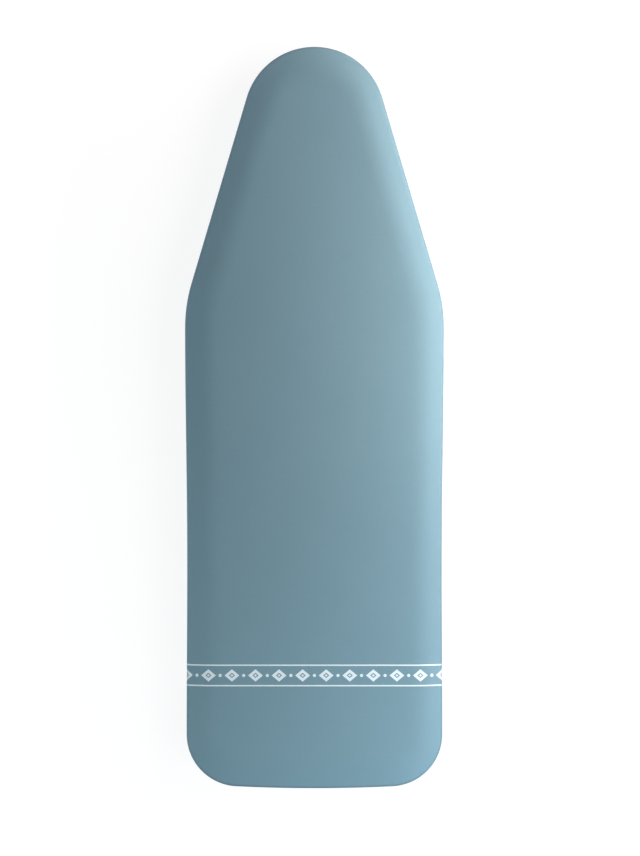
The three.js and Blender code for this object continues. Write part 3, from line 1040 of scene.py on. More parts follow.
class HookTree(GrowTree):
    """A field of small bent hooks, one on each vertex of a grid, each turned a little its own way."""

    label = "HookField"
    sizes = {"Height": 0.36 * MM, "Wire radius": 0.1 * MM, "Seed": 0}

    def copies(self, given: bpy.types.NodeOutputs) -> bpy.types.Node:
        """Adds the nodes that set out the hooks."""
        rise, reach, fall = (self.math("MULTIPLY", given["Height"], share) for share in (1.9, 1.5, 0.35))
        middle, end = self.combine(0.0, 0.0, rise), self.combine(reach, 0.0, fall)
        path = {"Resolution": 6, "Start": (0.0, 0.0, 0.0), "Middle": middle, "End": end}
        bent = self.node("GeometryNodeCurveQuadraticBezier", path)
        hook = self.tube(bent.outputs[0], given["Wire radius"], 4)
        turn = self.spin((-0.08, -0.08, -0.35), (0.08, 0.08, 0.35), given["Seed"])
        return self.strew(given["Geometry"], hook, turn)


class PileTree(GrowTree):
    """A pile of small loops that stand out of a face, each turned its own way."""

    label = "LoopPile"
    dip: float = 0.35
    sizes = {
        "Spacing": 0.4 * MM,
        "Density": 9.0e6,
        "Loop height": 0.36 * MM,
        "Loop stretch": 1.7,
        "Fibre radius": 0.07 * MM,
        "Seed": 0,
    }

    def copies(self, given: bpy.types.NodeOutputs) -> bpy.types.Node:
        """Adds the nodes that set out the loops."""
        spread = {"Distance Min": given["Spacing"], "Density Max": given["Density"], "Seed": given["Seed"]}
        points = self.node(
            "GeometryNodeDistributePointsOnFaces",
            {"Mesh": given["Geometry"], **spread},
            distribute_method="POISSON",
        ).outputs
        angles = {"Start Angle": -self.dip, "Sweep Angle": math.pi + 2 * self.dip}
        bow = self.node("GeometryNodeCurveArc", {"Resolution": 6, "Radius": given["Loop height"], **angles})
        stretch = {"Geometry": bow.outputs[0], "Scale": self.combine(given["Loop stretch"], 1.0, 1.0)}
        wide = self.node("GeometryNodeTransform", stretch)
        fibre = self.tube(wide.outputs[0], given["Fibre radius"], 3)
        stand = self.node("GeometryNodeTransform", {"Geometry": fibre, "Rotation": (math.pi / 2, 0.0, 0.0)})
        spin = self.spin((-0.5, -0.5, 0.0), (0.5, 0.5, 2 * math.pi), given["Seed"])
        turns = {"Rotation": points["Rotation"], "Rotate By": spin}
        turn = self.node("FunctionNodeRotateRotation", turns, rotation_space="LOCAL")
        return self.strew(points["Points"], stand.outputs[0], turn.outputs[0])


@dataclass(frozen=True)
class Trees:
    """The Geometry Nodes trees, each made once."""

    stitches: StitchTree
    hooks: HookTree
    pile: PileTree


def dress(piece: Piece, material: Material, slot: str) -> Piece:
    """Gives a piece its material."""
    piece.data.materials.clear()
    piece.data.materials.append(material)
    return piece


def report(piece: Piece, words: str) -> None:
    """Logs a finished piece with its number of faces."""
    LOG.info("%s: %s, %d faces", piece.name, words, len(piece.data.polygons))


@dataclass(frozen=True)
class HemDrape:
    """Cloth run of the turned-under strip, which has more cotton than room and is held at heel and hem.

    Attributes:
        frames: Steps of the run.
        magnify: How much larger the strip is while it runs, for the sake of the solver.
        spare: Share of spare cotton.
        gravity: Share of the usual gravity.
        reach: The furthest that a place may move.
        cloth: The cloth's further settings.
    """

    frames: int = 24
    magnify: float = 12.0
    spare: float = 0.010
    gravity: float = 0.1
    reach: float = 2.0 * MM
    cloth: tuple[tuple[str, float], ...] = (
        ("quality", 7),
        ("mass", 0.2),
        ("tension_stiffness", 20.0),
        ("compression_stiffness", 20.0),
        ("shear_stiffness", 8.0),
        ("bending_stiffness", 0.03),
        ("air_damping", 4.0),
    )

    def _hang(self, strip: np.ndarray) -> Piece:
        """Makes the strip as a cloth object, with its held rows marked."""
        rows, count, _ = strip.shape
        number = np.arange(rows * count).reshape(rows, count)
        after = np.roll(number, -1, axis=1)
        quads = np.stack([number[:-1], after[:-1], after[1:], number[1:]], axis=-1).reshape(-1, 4)
        mesh = bpy.data.meshes.new("hem_drape")
        mesh.from_pydata((strip.reshape(-1, 3) * self.magnify).tolist(), [], quads.tolist())
        cloth = put("hem_drape", mesh)
        held = cloth.vertex_groups.new(name="held")
        held.add(number[[0, -1]].ravel().tolist(), 1.0, "REPLACE")
        return cloth

    def run(self, strip: np.ndarray) -> np.ndarray:
        """Lets the strip settle.

        Args:
            strip: Places of the strip's middle, by row from heel to hem and by point round the plan.

        Returns:
            How far each place moved, in the same order.
        """
        scene = bpy.context.scene
        cloth = self._hang(strip)
        modifier = cloth.modifiers.new("Drape", "CLOTH")
        settings = modifier.settings
        for name, value in self.cloth:
            setattr(settings, name, value)
        settings.shrink_min = settings.shrink_max = -self.spare
        settings.effector_weights.gravity = self.gravity
        settings.vertex_group_mass = "held"
        modifier.collision_settings.use_collision = False
        modifier.collision_settings.use_self_collision = False
        modifier.point_cache.frame_start, modifier.point_cache.frame_end = 1, self.frames
        for number in range(1, self.frames + 1):
            scene.frame_set(number)
        settled = cloth.evaluated_get(bpy.context.evaluated_depsgraph_get()).data
        places = np.zeros(3 * len(settled.vertices), dtype=np.float32)
        settled.vertices.foreach_get("co", places)
        scene.frame_set(1)
        mesh = cloth.data
        bpy.data.objects.remove(cloth)
        bpy.data.meshes.remove(mesh)
        moved = places.reshape(strip.shape).astype(float) / self.magnify - strip
        far = np.linalg.norm(moved, axis=2, keepdims=True)
        moved *= self.reach * np.tanh(far / self.reach) / np.maximum(far, 1e-9)
        LOG.info("hem drape: %d places, moved %.2f mm at most", len(places) // 3, far.max() / MM)
        return moved


@dataclass(frozen=True)
class SectionDetail:
    """Numbers of rows along one face of the cotton."""

    spine: int
    crown: int
    roll: int
    turn: int


@dataclass
class CottonPanel:
    """The cut cotton: stretched top, rolled edge, and a gathered return that ends inside the binding.

    Attributes:
        step: Distance between points round the plan.
        fine: The same on the gathered rounds.
        face: Rows of the outer face.
        lining: Rows of the face towards the board.
        gather_depth: Height of the main gathers.
        pucker: Height of the fine puckers, on the straights and on the rounds.
        tug: How far the gathers draw in the rolled edge, on the straights and on the rounds.
        wall_pull: Shares of the tug that reach the side.
        ripple: Height of the top's slow unevenness.
        swells: Span across, span along and start of the unevenness: two slow waves, and two that multiply.
        drape: The cloth run of the return.
    """

    step: float = 3.3 * MM
    fine: float = 1.8 * MM
    face: SectionDetail = SectionDetail(spine=10, crown=12, roll=7, turn=14)
    lining: SectionDetail = SectionDetail(spine=3, crown=5, roll=3, turn=8)
    gather_depth: float = 1.9 * MM
    pucker: tuple[float, float] = (0.30 * MM, 1.10 * MM)
    tug: tuple[float, float] = (0.10 * MM, 0.50 * MM)
    wall_pull: tuple[float, float] = (0.05, 0.15)
    ripple: float = 0.10 * MM
    swells: tuple[tuple[float, float, float], ...] = (
        (0.23, 0.61, 0.6),
        (0.37, -0.29, 2.2),
        (0.11, 0.9, 4.0),
        (math.inf, 0.17, 1.0),
    )
    drape: HemDrape = HemDrape()

    def section(self, skin: float, detail: SectionDetail) -> np.ndarray:
        """The cotton's section from the inner side of the crown to the raw edge.

        Args:
            skin: 0 on the face towards the board, and the cotton's thickness on the outer face.
            detail: Numbers of rows.

        Returns:
            Rows of inset, height, share of the return, which is 0 up to the heel and 1 inside the binding,
            and pull, which is how much the gathers tug at the rolled edge there.
        """
        lay = LAYERS
        side = lay.cotton - skin
        top = lay.board_top + lay.gap
        slope = lay.crown_slope
        share = np.linspace(0, 1, detail.crown + 1)
        inset = lay.crown_width - (lay.crown_width - lay.pad_inset) * share
        tilt = skin * lerp(1, math.hypot(1, slope), share)
        crown = np.column_stack([inset, top + lay.pad_height(inset) + tilt])
        foot = top + lay.pad_height(lay.pad_inset) - lay.edge_roll
        brow = crown[-1]
        corner = (side, brow[1] - slope * (lay.pad_inset - side))
        shoulder = self._bend(brow, corner, (side, foot), detail.roll)[1:]
        under = lay.board_bottom - lay.gap - skin
        start = (side, under + skin + lay.edge_roll)
        wall = np.column_stack([np.full(2, side), lerp(foot, start[1], np.array([1 / 3, 2 / 3]))])
        heel = self._bend(start, (side, under), (lay.cotton + lay.edge_roll, under), detail.roll)
        r = np.linspace(0, 1, detail.turn + 1)[1:]
        back = self.turn_under(skin, r)
        hem = back[-1, 1]
        raw = np.array([[(back[-1, 0] + lay.turn_under) / 2, hem], [lay.turn_under, hem]])
        rows = [crown, shoulder, wall, heel, back, raw]
        shares = np.concatenate([np.zeros(sum(map(len, rows[:4]))), r, [1.0, 1.0]])
        level = np.zeros(len(crown) + len(shoulder))
        rising = np.linspace(0.35, 1.0, len(heel)) ** 1.5
        pull = np.concatenate([level, self.wall_pull, rising, (1 - r) ** 2, [0.0, 0.0]])
        return np.column_stack([np.vstack(rows), shares, pull])

    @staticmethod
    def turn_under(skin: float, r: np.ndarray) -> np.ndarray:
        """Inset and height of the return, at shares r of the way from the heel to the binding."""
        lay = LAYERS
        under = lay.board_bottom - lay.gap - skin
        hem = lay.hem_level + lay.cotton / 2 - skin
        near, lip = lay.cotton + lay.edge_roll, lay.lip_inset - 2 * lay.tape
        return np.column_stack([lerp(near, lip, r), lerp(under, hem, smooth(r) * 0.5 + r * 0.5)])

    @staticmethod
    def _bend(start: Point, corner: Point, end: Point, steps: int) -> np.ndarray:
        """A soft turn from start to end, pulled towards a corner."""
        t = np.linspace(0, 1, steps + 1)[:, None]
        a, b, c = (np.asarray(p, float) for p in (start, corner, end))
        return (1 - t) ** 2 * a + 2 * t * (1 - t) * b + t**2 * c

    def ripples(self, places: np.ndarray) -> np.ndarray:
        """Slow unevenness of the stretched top, in metres, over the foam."""
        x, y = places[:, 0], places[:, 1]
        turns = [2 * math.pi * (x / across + y / along) + start for across, along, start in self.swells]
        one, two, three, four = np.sin(turns)
        return self.ripple * (0.4 * (one + two) + 0.2 * (three * four))

    def _formed(self, loop: PlanLoop, row: np.ndarray) -> np.ndarray:
        """Places of one row of the section round the plan, with its gathers, puckers and tugs."""
        inset, z, share, pull = row
        pucker = RUFFLE.pucker(loop)
        swell = math.sin(math.pi * share) if share < 1 else 0.0
        near_lip = share**1.3 * (1 - share**8)
        fine = lerp(*self.pucker, loop.gather) * pucker * near_lip
        dz = self.gather_depth * loop.wave * swell + fine + RUFFLE.lift(loop) * smooth(share)
        tug = lerp(*self.tug, loop.gather) * (1 + pucker) / 2 * pull
        ring = inset_ring(loop, inset + tug + RUFFLE.shift(loop) * smooth(share), z + dz)
        if share == 0:
            ring[:, 2] += self.ripples(ring) * smooth((z - LAYERS.board_top) / LAYERS.pad_stack)
        return ring

    def _drape(self, loop: PlanLoop) -> np.ndarray:
        """Runs the cloth of the return, and gives how far each of its rows moves."""
        r = np.linspace(0, 1, self.face.turn + 1)
        middle = self.turn_under(LAYERS.cotton / 2, r)
        rows = np.column_stack([middle, np.maximum(r, 1e-6), (1 - r) ** 2])
        return self.drape.run(np.stack([self._formed(loop, row) for row in rows]))

    def _rows(self, loop: PlanLoop, skin: float, detail: SectionDetail, moved: np.ndarray) -> Rows:
        """Pairs of rows of one face, places and flat-pattern places, from the spine out to the raw edge."""
        section = self.section(skin, detail)
        crown_edge = loop.points + loop.inward * LAYERS.crown_width
        floor, ceiling = LAYERS.gap + LAYERS.cotton - skin, LAYERS.board_bottom - LAYERS.gap - skin
        inner = spine_rings(np.column_stack([crown_edge, np.full(loop.count, section[0, 1])]), detail.spine)
        for ring in inner[::-1]:
            ring[:, 2] += self.ripples(ring)
            yield ring, ring[:, :2]
        for row, far in zip(section, run_lengths(section[:, :2])):
            ring = self._formed(loop, row)
            if 0 < row[2] < 1:
                at = row[2] * (len(moved) - 1)
                low = min(int(at), len(moved) - 2)
                ring += lerp(moved[low], moved[low + 1], at - low)
                ring[:, 2] = np.clip(ring[:, 2], floor, ceiling)
            yield ring, crown_edge - loop.inward * far

    def build(self) -> Piece:
        """Makes the closed panel.

        Returns:
            The cotton, with its flat pattern in its map.
        """
        loop = PLAN.sample(self.step, self.fine)
        moved = self._drape(loop)
        maker = MeshMaker("cover_cotton")
        outer = [maker.ring(*rows) for rows in self._rows(loop, LAYERS.cotton, self.face, moved)]
        inner = [maker.ring(*rows) for rows in self._rows(loop, 0.0, self.lining, moved)]
        maker.loft(outer + inner[::-1])
        self.flat = maker.cut[len(outer) - 1]
        return maker.finish(merge=MERGE)

    def flat_size(self) -> tuple[tuple[float, float], float]:
        """Width and length of the flat cut, and its area."""
        x, y = self.flat.T
        area = abs(float(np.sum(x * np.roll(y, -1) - y * np.roll(x, -1)))) / 2
        return (float(np.ptp(x)), float(np.ptp(y))), area


@dataclass
class Padding:
    """The two layers between the board and the cotton, foam over felt, squeezed thin along their edge."""

    step: float = 9 * MM
    crown_steps: int = 12
    spine_steps: int = 6
    rim_steps: int = 6
    round_edge: float = 0.35
    fill_foam: float = 0.8
    fill_felt: float = 0.9

    def _layer(self, name: str, top: Height, bottom: Height) -> Piece:
        """Makes one closed layer with a rounded rim.

        Args:
            name: The new piece's name.
            top: Gives the height of its upper face at an inset.
            bottom: Gives the height of its lower face at an inset.

        Returns:
            The layer.
        """
        loop = PLAN.sample(self.step)
        maker = MeshMaker(name)
        rim = LAYERS.pad_inset + LAYERS.gap
        insets = np.linspace(LAYERS.crown_width, rim, self.crown_steps + 1)
        upper, lower = top(insets), bottom(insets)
        middle, half = (upper[-1] + lower[-1]) / 2, (upper[-1] - lower[-1]) / 2
        faces = [[inset_ring(loop, i, z) for i, z in zip(insets[:-1], face)] for face in (upper, lower)]
        over, under = (spine_rings(face[0], self.spine_steps)[::-1] + face for face in faces)
        turn = np.linspace(math.pi / 2, -math.pi / 2, self.rim_steps + 1)
        edge_insets = rim + self.round_edge * half * (1 - np.cos(turn))
        edge = [inset_ring(loop, i, z) for i, z in zip(edge_insets, middle + half * np.sin(turn))]
        maker.loft([maker.ring(row) for row in over + edge + under[::-1]])
        return maker.finish(merge=MERGE)

    def build(self, finishes: Finishes) -> None:
        """Makes and dresses both layers, and attaches them to the cover.

        Args:
            finishes: The cover's materials.
        """
        lay, top = LAYERS, LAYERS.board_top
        heights = {
            "foam": (lambda i: top + lay.pad_height(i), lambda i: top + lay.felt_height(i) + lay.gap),
            "felt": (lambda i: top + lay.felt_height(i), lambda i: np.full_like(i, top)),
        }
        for kind, faces in heights.items():
            piece = dress(self._layer(f"{kind}_layer", *faces), getattr(finishes, kind), kind)
            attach(piece, "cover")
            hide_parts(f"{kind}_pad")
            report(piece, "padding")


@dataclass
class Hem:
    """The folded binding, the elastic inside it and its rows of stitches.

    Attributes:
        step: Distance between points round the plan.
        fine: The same on the gathered rounds.
        fold_steps: Rows round the binding's fold.
        lip_round: Rounding of the binding's lips, as a share of the tape.
        elastic_round: Rounding of the elastic's edges.
        elastic_rib: Distance from row to row on the elastic's pattern.
        row_inset: Distance of the stitches from the lips.
        proud: How far the stitches stand out of the tape.
    """

    step: float = 3.3 * MM
    fine: float = 1.8 * MM
    fold_steps: int = 8
    lip_round: float = 0.3
    elastic_round: float = 0.35 * MM
    elastic_rib: float = 1.8 * MM
    row_inset: float = 2.2 * MM
    proud: float = 0.02 * MM

    def _tape_section(self) -> np.ndarray:
        """Inset and height round the binding's section, from the bottom of the fold up and over."""
        lay = LAYERS
        turn = np.linspace(-math.pi / 2, math.pi / 2, self.fold_steps + 1)
        arc = np.column_stack([np.cos(turn), np.sin(turn)])
        centre = np.array([lay.fold_centre, lay.hem_level])
        lip, soft = lay.lip_inset, self.lip_round * lay.tape
        middle = (lip + lay.fold_centre) / 2
        upper = [(middle, lay.binding), (lip + soft, lay.binding), (lip, lay.binding - soft)]
        upper += [(lip, lay.binding - lay.tape + soft), (lip + soft, lay.binding - lay.tape)]
        lower = [(lip + soft, lay.tape), (lip, lay.tape - soft)]
        lower += [(lip, soft), (lip + soft, 0.0), (middle, 0.0)]
        outer, inner = centre + lay.binding / 2 * arc, centre + lay.cavity / 2 * arc[::-1]
        return np.vstack([outer, upper, inner, lower])

    def _elastic_section(self) -> np.ndarray:
        """Inset and height round the elastic's section, which has rounded edges."""
        half, inner = LAYERS.elastic / 2, LAYERS.fold_centre - LAYERS.gap
        outer = inner - LAYERS.elastic_width
        soft = self.elastic_round
        upper = [(inner - soft, half), (outer + soft, half), (outer, half - soft)]
        lower = [(outer, soft - half), (outer + soft, -half), (inner - soft, -half), (inner, soft - half)]
        return np.array([*upper, *lower, (inner, half - soft)]) + (0.0, LAYERS.hem_level)

    @staticmethod
    def _ring(loop: PlanLoop, inset: float, z: float) -> np.ndarray:
        """Places round the hem at an inset and a height, drawn up by the elastic."""
        return inset_ring(loop, inset + RUFFLE.shift(loop), z + RUFFLE.lift(loop))

    def _band(self, name: str, loop: PlanLoop, section: np.ndarray, across: np.ndarray) -> Piece:
        """Makes a closed band round the hem.

        Args:
            name: The new piece's name.
            loop: Points round the plan.
            section: Rows of inset and height round the band's section.
            across: Each row's place across the band's pattern.

        Returns:
            The band.
        """
        maker = MeshMaker(name)
        cuts = [np.column_stack([loop.travel, np.full(loop.count, far)]) for far in across]
        rings = [maker.ring(self._ring(loop, *row), cut) for row, cut in zip(section, cuts)]
        maker.loft(rings, ring_around=True)
        return maker.finish()

    def build(self, finishes: Finishes, stitches: StitchTree) -> list[Piece]:
        """Makes and dresses the hem.

        Args:
            finishes: The cover's materials.
            stitches: The tree that sews.

        Returns:
            The binding, the elastic and the stitches.
        """
        loop = PLAN.sample(self.step, self.fine)
        fold, band = self._tape_section(), self._elastic_section()
        tape = self._band("hem_tape", loop, fold, run_lengths(fold))
        dress(tape, finishes.binding, "binding_tape")
        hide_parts("hem_binding")
        elastic = self._band("hem_elastic_band", loop, band, self.elastic_rib * np.arange(len(band)))
        dress(elastic, finishes.elastic, "elastic")
        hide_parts("hem_elastic")
        inset = LAYERS.lip_inset + self.row_inset
        lines = [self._ring(loop, inset, z) for z in (-self.proud, LAYERS.binding + self.proud)]
        thread = stitches.sew("hem_stitches", lines, finishes.thread)
        pieces = [tape, elastic, thread]
        for piece in pieces:
            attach(piece, "cover")
            report(piece, "hem")
        return pieces


@dataclass
class StrapHalf:
    """One half of a strap: webbing sewn to the hem, a touch-fastening patch near its tip, and stitches.

    Attributes:
        station: Where the strap crosses.
        half: Which half it is.
        bend: Place of its hinge.
        length: Length from the hinge to the tip.
        width: Width of the webbing.
        overlap: Length over which the two halves lie on each other.
        root: Length of the sewn end.
        reach: Distance from the sewn end to the hinge.
        soft: Half a length of webbing about the hinge, whose ends are worked out but not used.
        turn: Half the length of webbing with fine rows at the hinge.
        tip_radius: Radius of the tip's corners.
        edge: Width of the thin selvedge.
        edge_share: Thickness of the selvedge's outer line, as a share of the webbing's.
        patch_length: Length of the patch.
        patch_margin: Distance of the patch from the webbing's edge.
        patch_corner: Radius of the patch's corners.
        patch_rows: Inset and height of each row of the patch's slab, in millimetres.
        face_level: Height over the patch's back where hooks and loops grow.
        hook_grid: Distance between hooks, and of them from the patch's edge.
        pile_grid: Distance between lines of the ground of the loops, and of it from the patch's edge.
        stitch_corner: Radius of the corners of stitched boxes.
        stitch_pitch: Distance from stitch to stitch.
        patch_seam: Distance of the patch's stitches from its edge.
        root_seam: Distances of the root's stitches from the webbing's end, its hinge side and its edges.
        proud: How far stitches stand out of the webbing, the binding and the patch.
    """

    station: Station
    half: Half
    bend: Vector
    length: float
    width: float = 30 * MM
    overlap: float = 70 * MM
    root: float = 12 * MM
    reach: float = 2.7765 * MM
    soft: float = 1.6 * MM
    turn: float = 2 * MM
    tip_radius: float = 9 * MM
    edge: float = 0.55 * MM
    edge_share: float = 0.25
    patch_length: float = 50 * MM
    patch_margin: float = 2 * MM
    patch_corner: float = 2.5 * MM
    patch_rows: tuple[tuple[float, float], ...] = (
        (0.5, 0.0),
        (0.15, 0.02),
        (0.0, 0.12),
        (0.0, 0.24),
        (0.2, 0.34),
        (0.6, 0.36),
    )
    face_level: float = 0.34 * MM
    hook_grid: tuple[float, float] = (1.25 * MM, 2.6 * MM)
    pile_grid: tuple[float, float] = (6.0 * MM, 2.2 * MM)
    stitch_corner: float = 1.4 * MM
    stitch_pitch: float = 3.0 * MM
    patch_seam: float = 1.3 * MM
    root_seam: tuple[float, float, float] = (2 * MM, 3.2 * MM, 2.5 * MM)
    proud: tuple[float, float, float] = (0.05 * MM, 0.02 * MM, 0.02 * MM)

    @property
    def name(self) -> str:
        """Start of the names of this half's pieces."""
        return f"{self.station.value}_{self.half.value}"

    @property
    def hooked(self) -> bool:
        """True for the half with hooks, which lies lower and has its patch on top."""
        return self.half is Half.HOOK

    @property
    def drop(self) -> float:
        """How far this half lies below the line where it is sewn."""
        return LAYERS.strap_drop if self.hooked else 0.0

    @property
    def patch_up(self) -> float:
        """1 where the patch lies on top of the webbing, and -1 where it hangs below it."""
        return 1.0 if self.hooked else -1.0

    @property
    def patch_half(self) -> np.ndarray:
        """Half the length and half the width of the patch."""
        return np.array([self.patch_length / 2, self.width / 2 - self.patch_margin])

    @property
    def patch_middle(self) -> tuple[float, float]:
        """Distance along the strap and height of the middle of the patch's back face."""
        return self.length - self.overlap / 2, -self.drop + self.patch_up * (LAYERS.strap / 2 + LAYERS.gap)

    def place(self, local: np.ndarray) -> np.ndarray:
        """Places given along, across and above the strap from its bend, in the cover's frame."""
        turn = np.array([-1.0, -1.0, 1.0] if self.hooked else [1.0, 1.0, 1.0])
        return local * turn + np.array(self.bend)

    def level(self, along: float) -> float:
        """Height of the webbing's middle against its bend, at a distance along it."""
        run = self.length - self.overlap - (self.overlap - self.patch_length) / 2
        return -self.drop * float(smooth(along / run))

    def _half_width(self, along: float) -> float:
        """Half the webbing's width, less where the tip is rounded."""
        past = max(0.0, along - (self.length - self.tip_radius))
        inside = math.sqrt(max(0.0, self.tip_radius**2 - past**2))
        return self.width / 2 - self.tip_radius + inside

    def _webbing(self) -> Piece:
        """Makes the webbing from its sewn end to its rounded tip, with thin selvedges."""
        maker = MeshMaker(f"{self.name}_webbing")
        tip = self.length - self.tip_radius
        sewn = np.linspace(-self.reach - self.root, -self.turn, 12)
        bent = np.linspace(-self.turn, self.turn, 17)[1:]
        free = np.linspace(self.turn, tip, 70)[1:]
        round_tip = tip + self.tip_radius * np.sin(np.linspace(0, math.pi / 2, 12))[1:]
        selvedge = np.array([0.92, 0.96, 0.985, 1.0])
        share = np.concatenate([-selvedge[::-1], np.linspace(-0.8, 0.8, 9), selvedge])
        rings = []
        for along in np.concatenate([sewn, bent, free, round_tip]).tolist():
            half_width = self._half_width(along)
            across = share * half_width
            inside = np.clip((np.abs(across) - (half_width - self.edge)) / self.edge, 0, 1)
            thick = LAYERS.strap / 2 * np.maximum(np.sqrt(1 - inside**2), self.edge_share)
            both = np.concatenate([across, across[::-1]])
            up = self.level(along) + np.concatenate([thick, -thick[::-1]])
            stay = np.full_like(both, along)
            places = self.place(np.column_stack([stay, both, up]))
            rings.append(maker.ring(places, np.column_stack([both, stay])))
        maker.loft(rings)
        maker.cap(rings[0])
        maker.cap(rings[-1], reverse=True)
        return maker.finish()

    def _patch(self) -> Piece:
        """Makes the patch's ground tape, a thin slab with rounded corners and soft edges."""
        maker = MeshMaker(f"{self.name}_ground")
        along, back = self.patch_middle
        rows = []
        for inset, z in self.patch_rows if self.hooked else self.patch_rows[::-1]:
            less = inset * MM
            outline = rounded_box(self.patch_half - less, self.patch_corner - less, 40) + (along, 0.0)
            up = np.full(len(outline), back + self.patch_up * z * MM)
            rows.append(maker.ring(self.place(np.column_stack([outline, up])), outline[:, ::-1]))
        maker.loft(rows[::-1])
        maker.cap(rows[0], reverse=True)
        maker.cap(rows[-1])
        return maker.finish()

    def _face_grid(self, pitch: float, margin: float) -> bpy.types.Mesh:
        """A flat grid just on the patch's working face, whose normal points out of it."""
        along, back = self.patch_middle
        half = self.patch_half - margin
        count_a, count_c = (2 * half / pitch).astype(int)
        a = along + np.linspace(-half[0], half[0], count_a + 1)
        c = np.linspace(-half[1], half[1], count_c + 1)
        z = back + self.patch_up * self.face_level
        number = np.arange(len(a) * len(c)).reshape(len(a), len(c))
        corners = [number[:-1, :-1], number[1:, :-1], number[1:, 1:], number[:-1, 1:]]
        quads = np.stack(corners if self.hooked else corners[::-1], axis=-1).reshape(-1, 4)
        mesh = bpy.data.meshes.new(f"{self.name}_grid")
        places = self.place(np.array([(x, y, z) for x in a for y in c]))
        mesh.from_pydata(places.tolist(), [], quads.tolist())
        return mesh

    def _box_line(self, middle: float, half: np.ndarray, z: float) -> np.ndarray:
        """A closed rectangle of stitching with small round corners, round a place along the strap."""
        outline = rounded_box(half, self.stitch_corner, 32) + (middle, 0.0)
        return self.place(np.column_stack([outline, np.full(len(outline), z)]))

    def _root_lines(self) -> list[np.ndarray]:
        """Stitching that holds the strap to the binding: on top of the webbing and under the binding."""
        end, front, side = self.root_seam
        low, high = -self.reach - self.root + end, -self.reach - front
        half = np.array([(high - low) / 2, self.width / 2 - side])
        heights = LAYERS.strap / 2 + self.proud[0], -LAYERS.strap_level - self.proud[1]
        return [self._box_line((low + high) / 2, half, z) for z in heights]

    def _patch_lines(self) -> list[np.ndarray]:
        """Stitching that holds the patch: on its face and on the other side of the webbing."""
        along, back = self.patch_middle
        face = back + self.patch_up * (self.patch_rows[-1][1] * MM + self.proud[2])
        other = -self.drop - self.patch_up * (LAYERS.strap / 2 + self.proud[0])
        return [self._box_line(along, self.patch_half - self.patch_seam, z) for z in (face, other)]

    def build(self, finishes: Finishes, trees: Trees, seed: int) -> None:
        """Makes and dresses every piece of this half, and attaches all but the webbing to a body.

        Args:
            finishes: The cover's materials.
            trees: The trees that sew and that make hooks and loops.
            seed: Starting number for this half's randomness.
        """
        body = self.name
        slot = f"{self.half.value}_tape"
        webbing = dress(self._webbing(), finishes.webbing, "webbing")
        ends = self.place(np.array([[-self.soft, 0, 0], [self.soft, 0, 0]]))
        tuple(ends[0])
        tuple(ends[1])
        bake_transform(webbing)
        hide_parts(f"{body}_strap", f"{body}_strap_root")
        ground = dress(self._patch(), getattr(finishes, slot), slot)
        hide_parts(f"{body}_patch")
        if self.hooked:
            grid = self._face_grid(*self.hook_grid)
            face = trees.hooks.grow(f"{body}_hooks", grid, finishes.hooks, {"Seed": seed})
        else:
            grid = self._face_grid(*self.pile_grid)
            face = trees.pile.grow(f"{body}_pile", grid, finishes.loops, {"Seed": seed})
        lines = {"patch": self._patch_lines(), "root": self._root_lines()}
        patch_thread, root_thread = (
            trees.stitches.sew(f"{body}_{seam}_stitches", rows, finishes.thread, self.stitch_pitch)
            for seam, rows in lines.items()
        )
        for piece in (ground, face, patch_thread):
            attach(piece, body)
        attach(root_thread, "cover")
        for piece in (webbing, ground, face, patch_thread, root_thread):
            report(piece, "strap")


@dataclass
class Straps:
    """All the strap pairs, each seated at its hinges."""

    overlap: float = 70 * MM
    first_seed: int = 11
    seed_step: int = 7

    def build(self, joints: Sequence[dict], finishes: Finishes, trees: Trees) -> None:
        """Makes every strap half.

        Args:
            joints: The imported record's joints, which give the lines where the straps bend.
            finishes: The cover's materials.
            trees: The trees that sew and that make hooks and loops.
        """
        hinges = {joint["name"]: Vector(joint["pos_m"]) for joint in joints}
        seed = self.first_seed
        for station in Station:
            for half in Half:
                bend = hinges[f"{station.value}_{half.value}_swing"]
                strap = StrapHalf(station, half, bend, abs(bend.x) + self.overlap / 2, overlap=self.overlap)
                strap.build(finishes, trees, seed)
                seed += self.seed_step


@dataclass(frozen=True)
class Softbox:
    """A rectangular studio light that the camera doesn't see."""

    name: str
    place: tuple[float, float, float]
    aim: tuple[float, float, float]
    size: tuple[float, float]
    power: float
    colour: tuple[float, float, float] = (1.0, 1.0, 1.0)

    def build(self) -> None:
        """Hangs the light."""
        lamp = bpy.data.lights.new(self.name, "AREA")
        lamp.shape = "RECTANGLE"
        lamp.size, lamp.size_y = self.size
        lamp.energy = self.power
        lamp.color = self.colour
        made = put(self.name, lamp)
        made.location = self.place
        made.rotation_euler = (Vector(self.aim) - Vector(self.place)).to_track_quat("-Z", "Y").to_euler()
        made.visible_camera = False


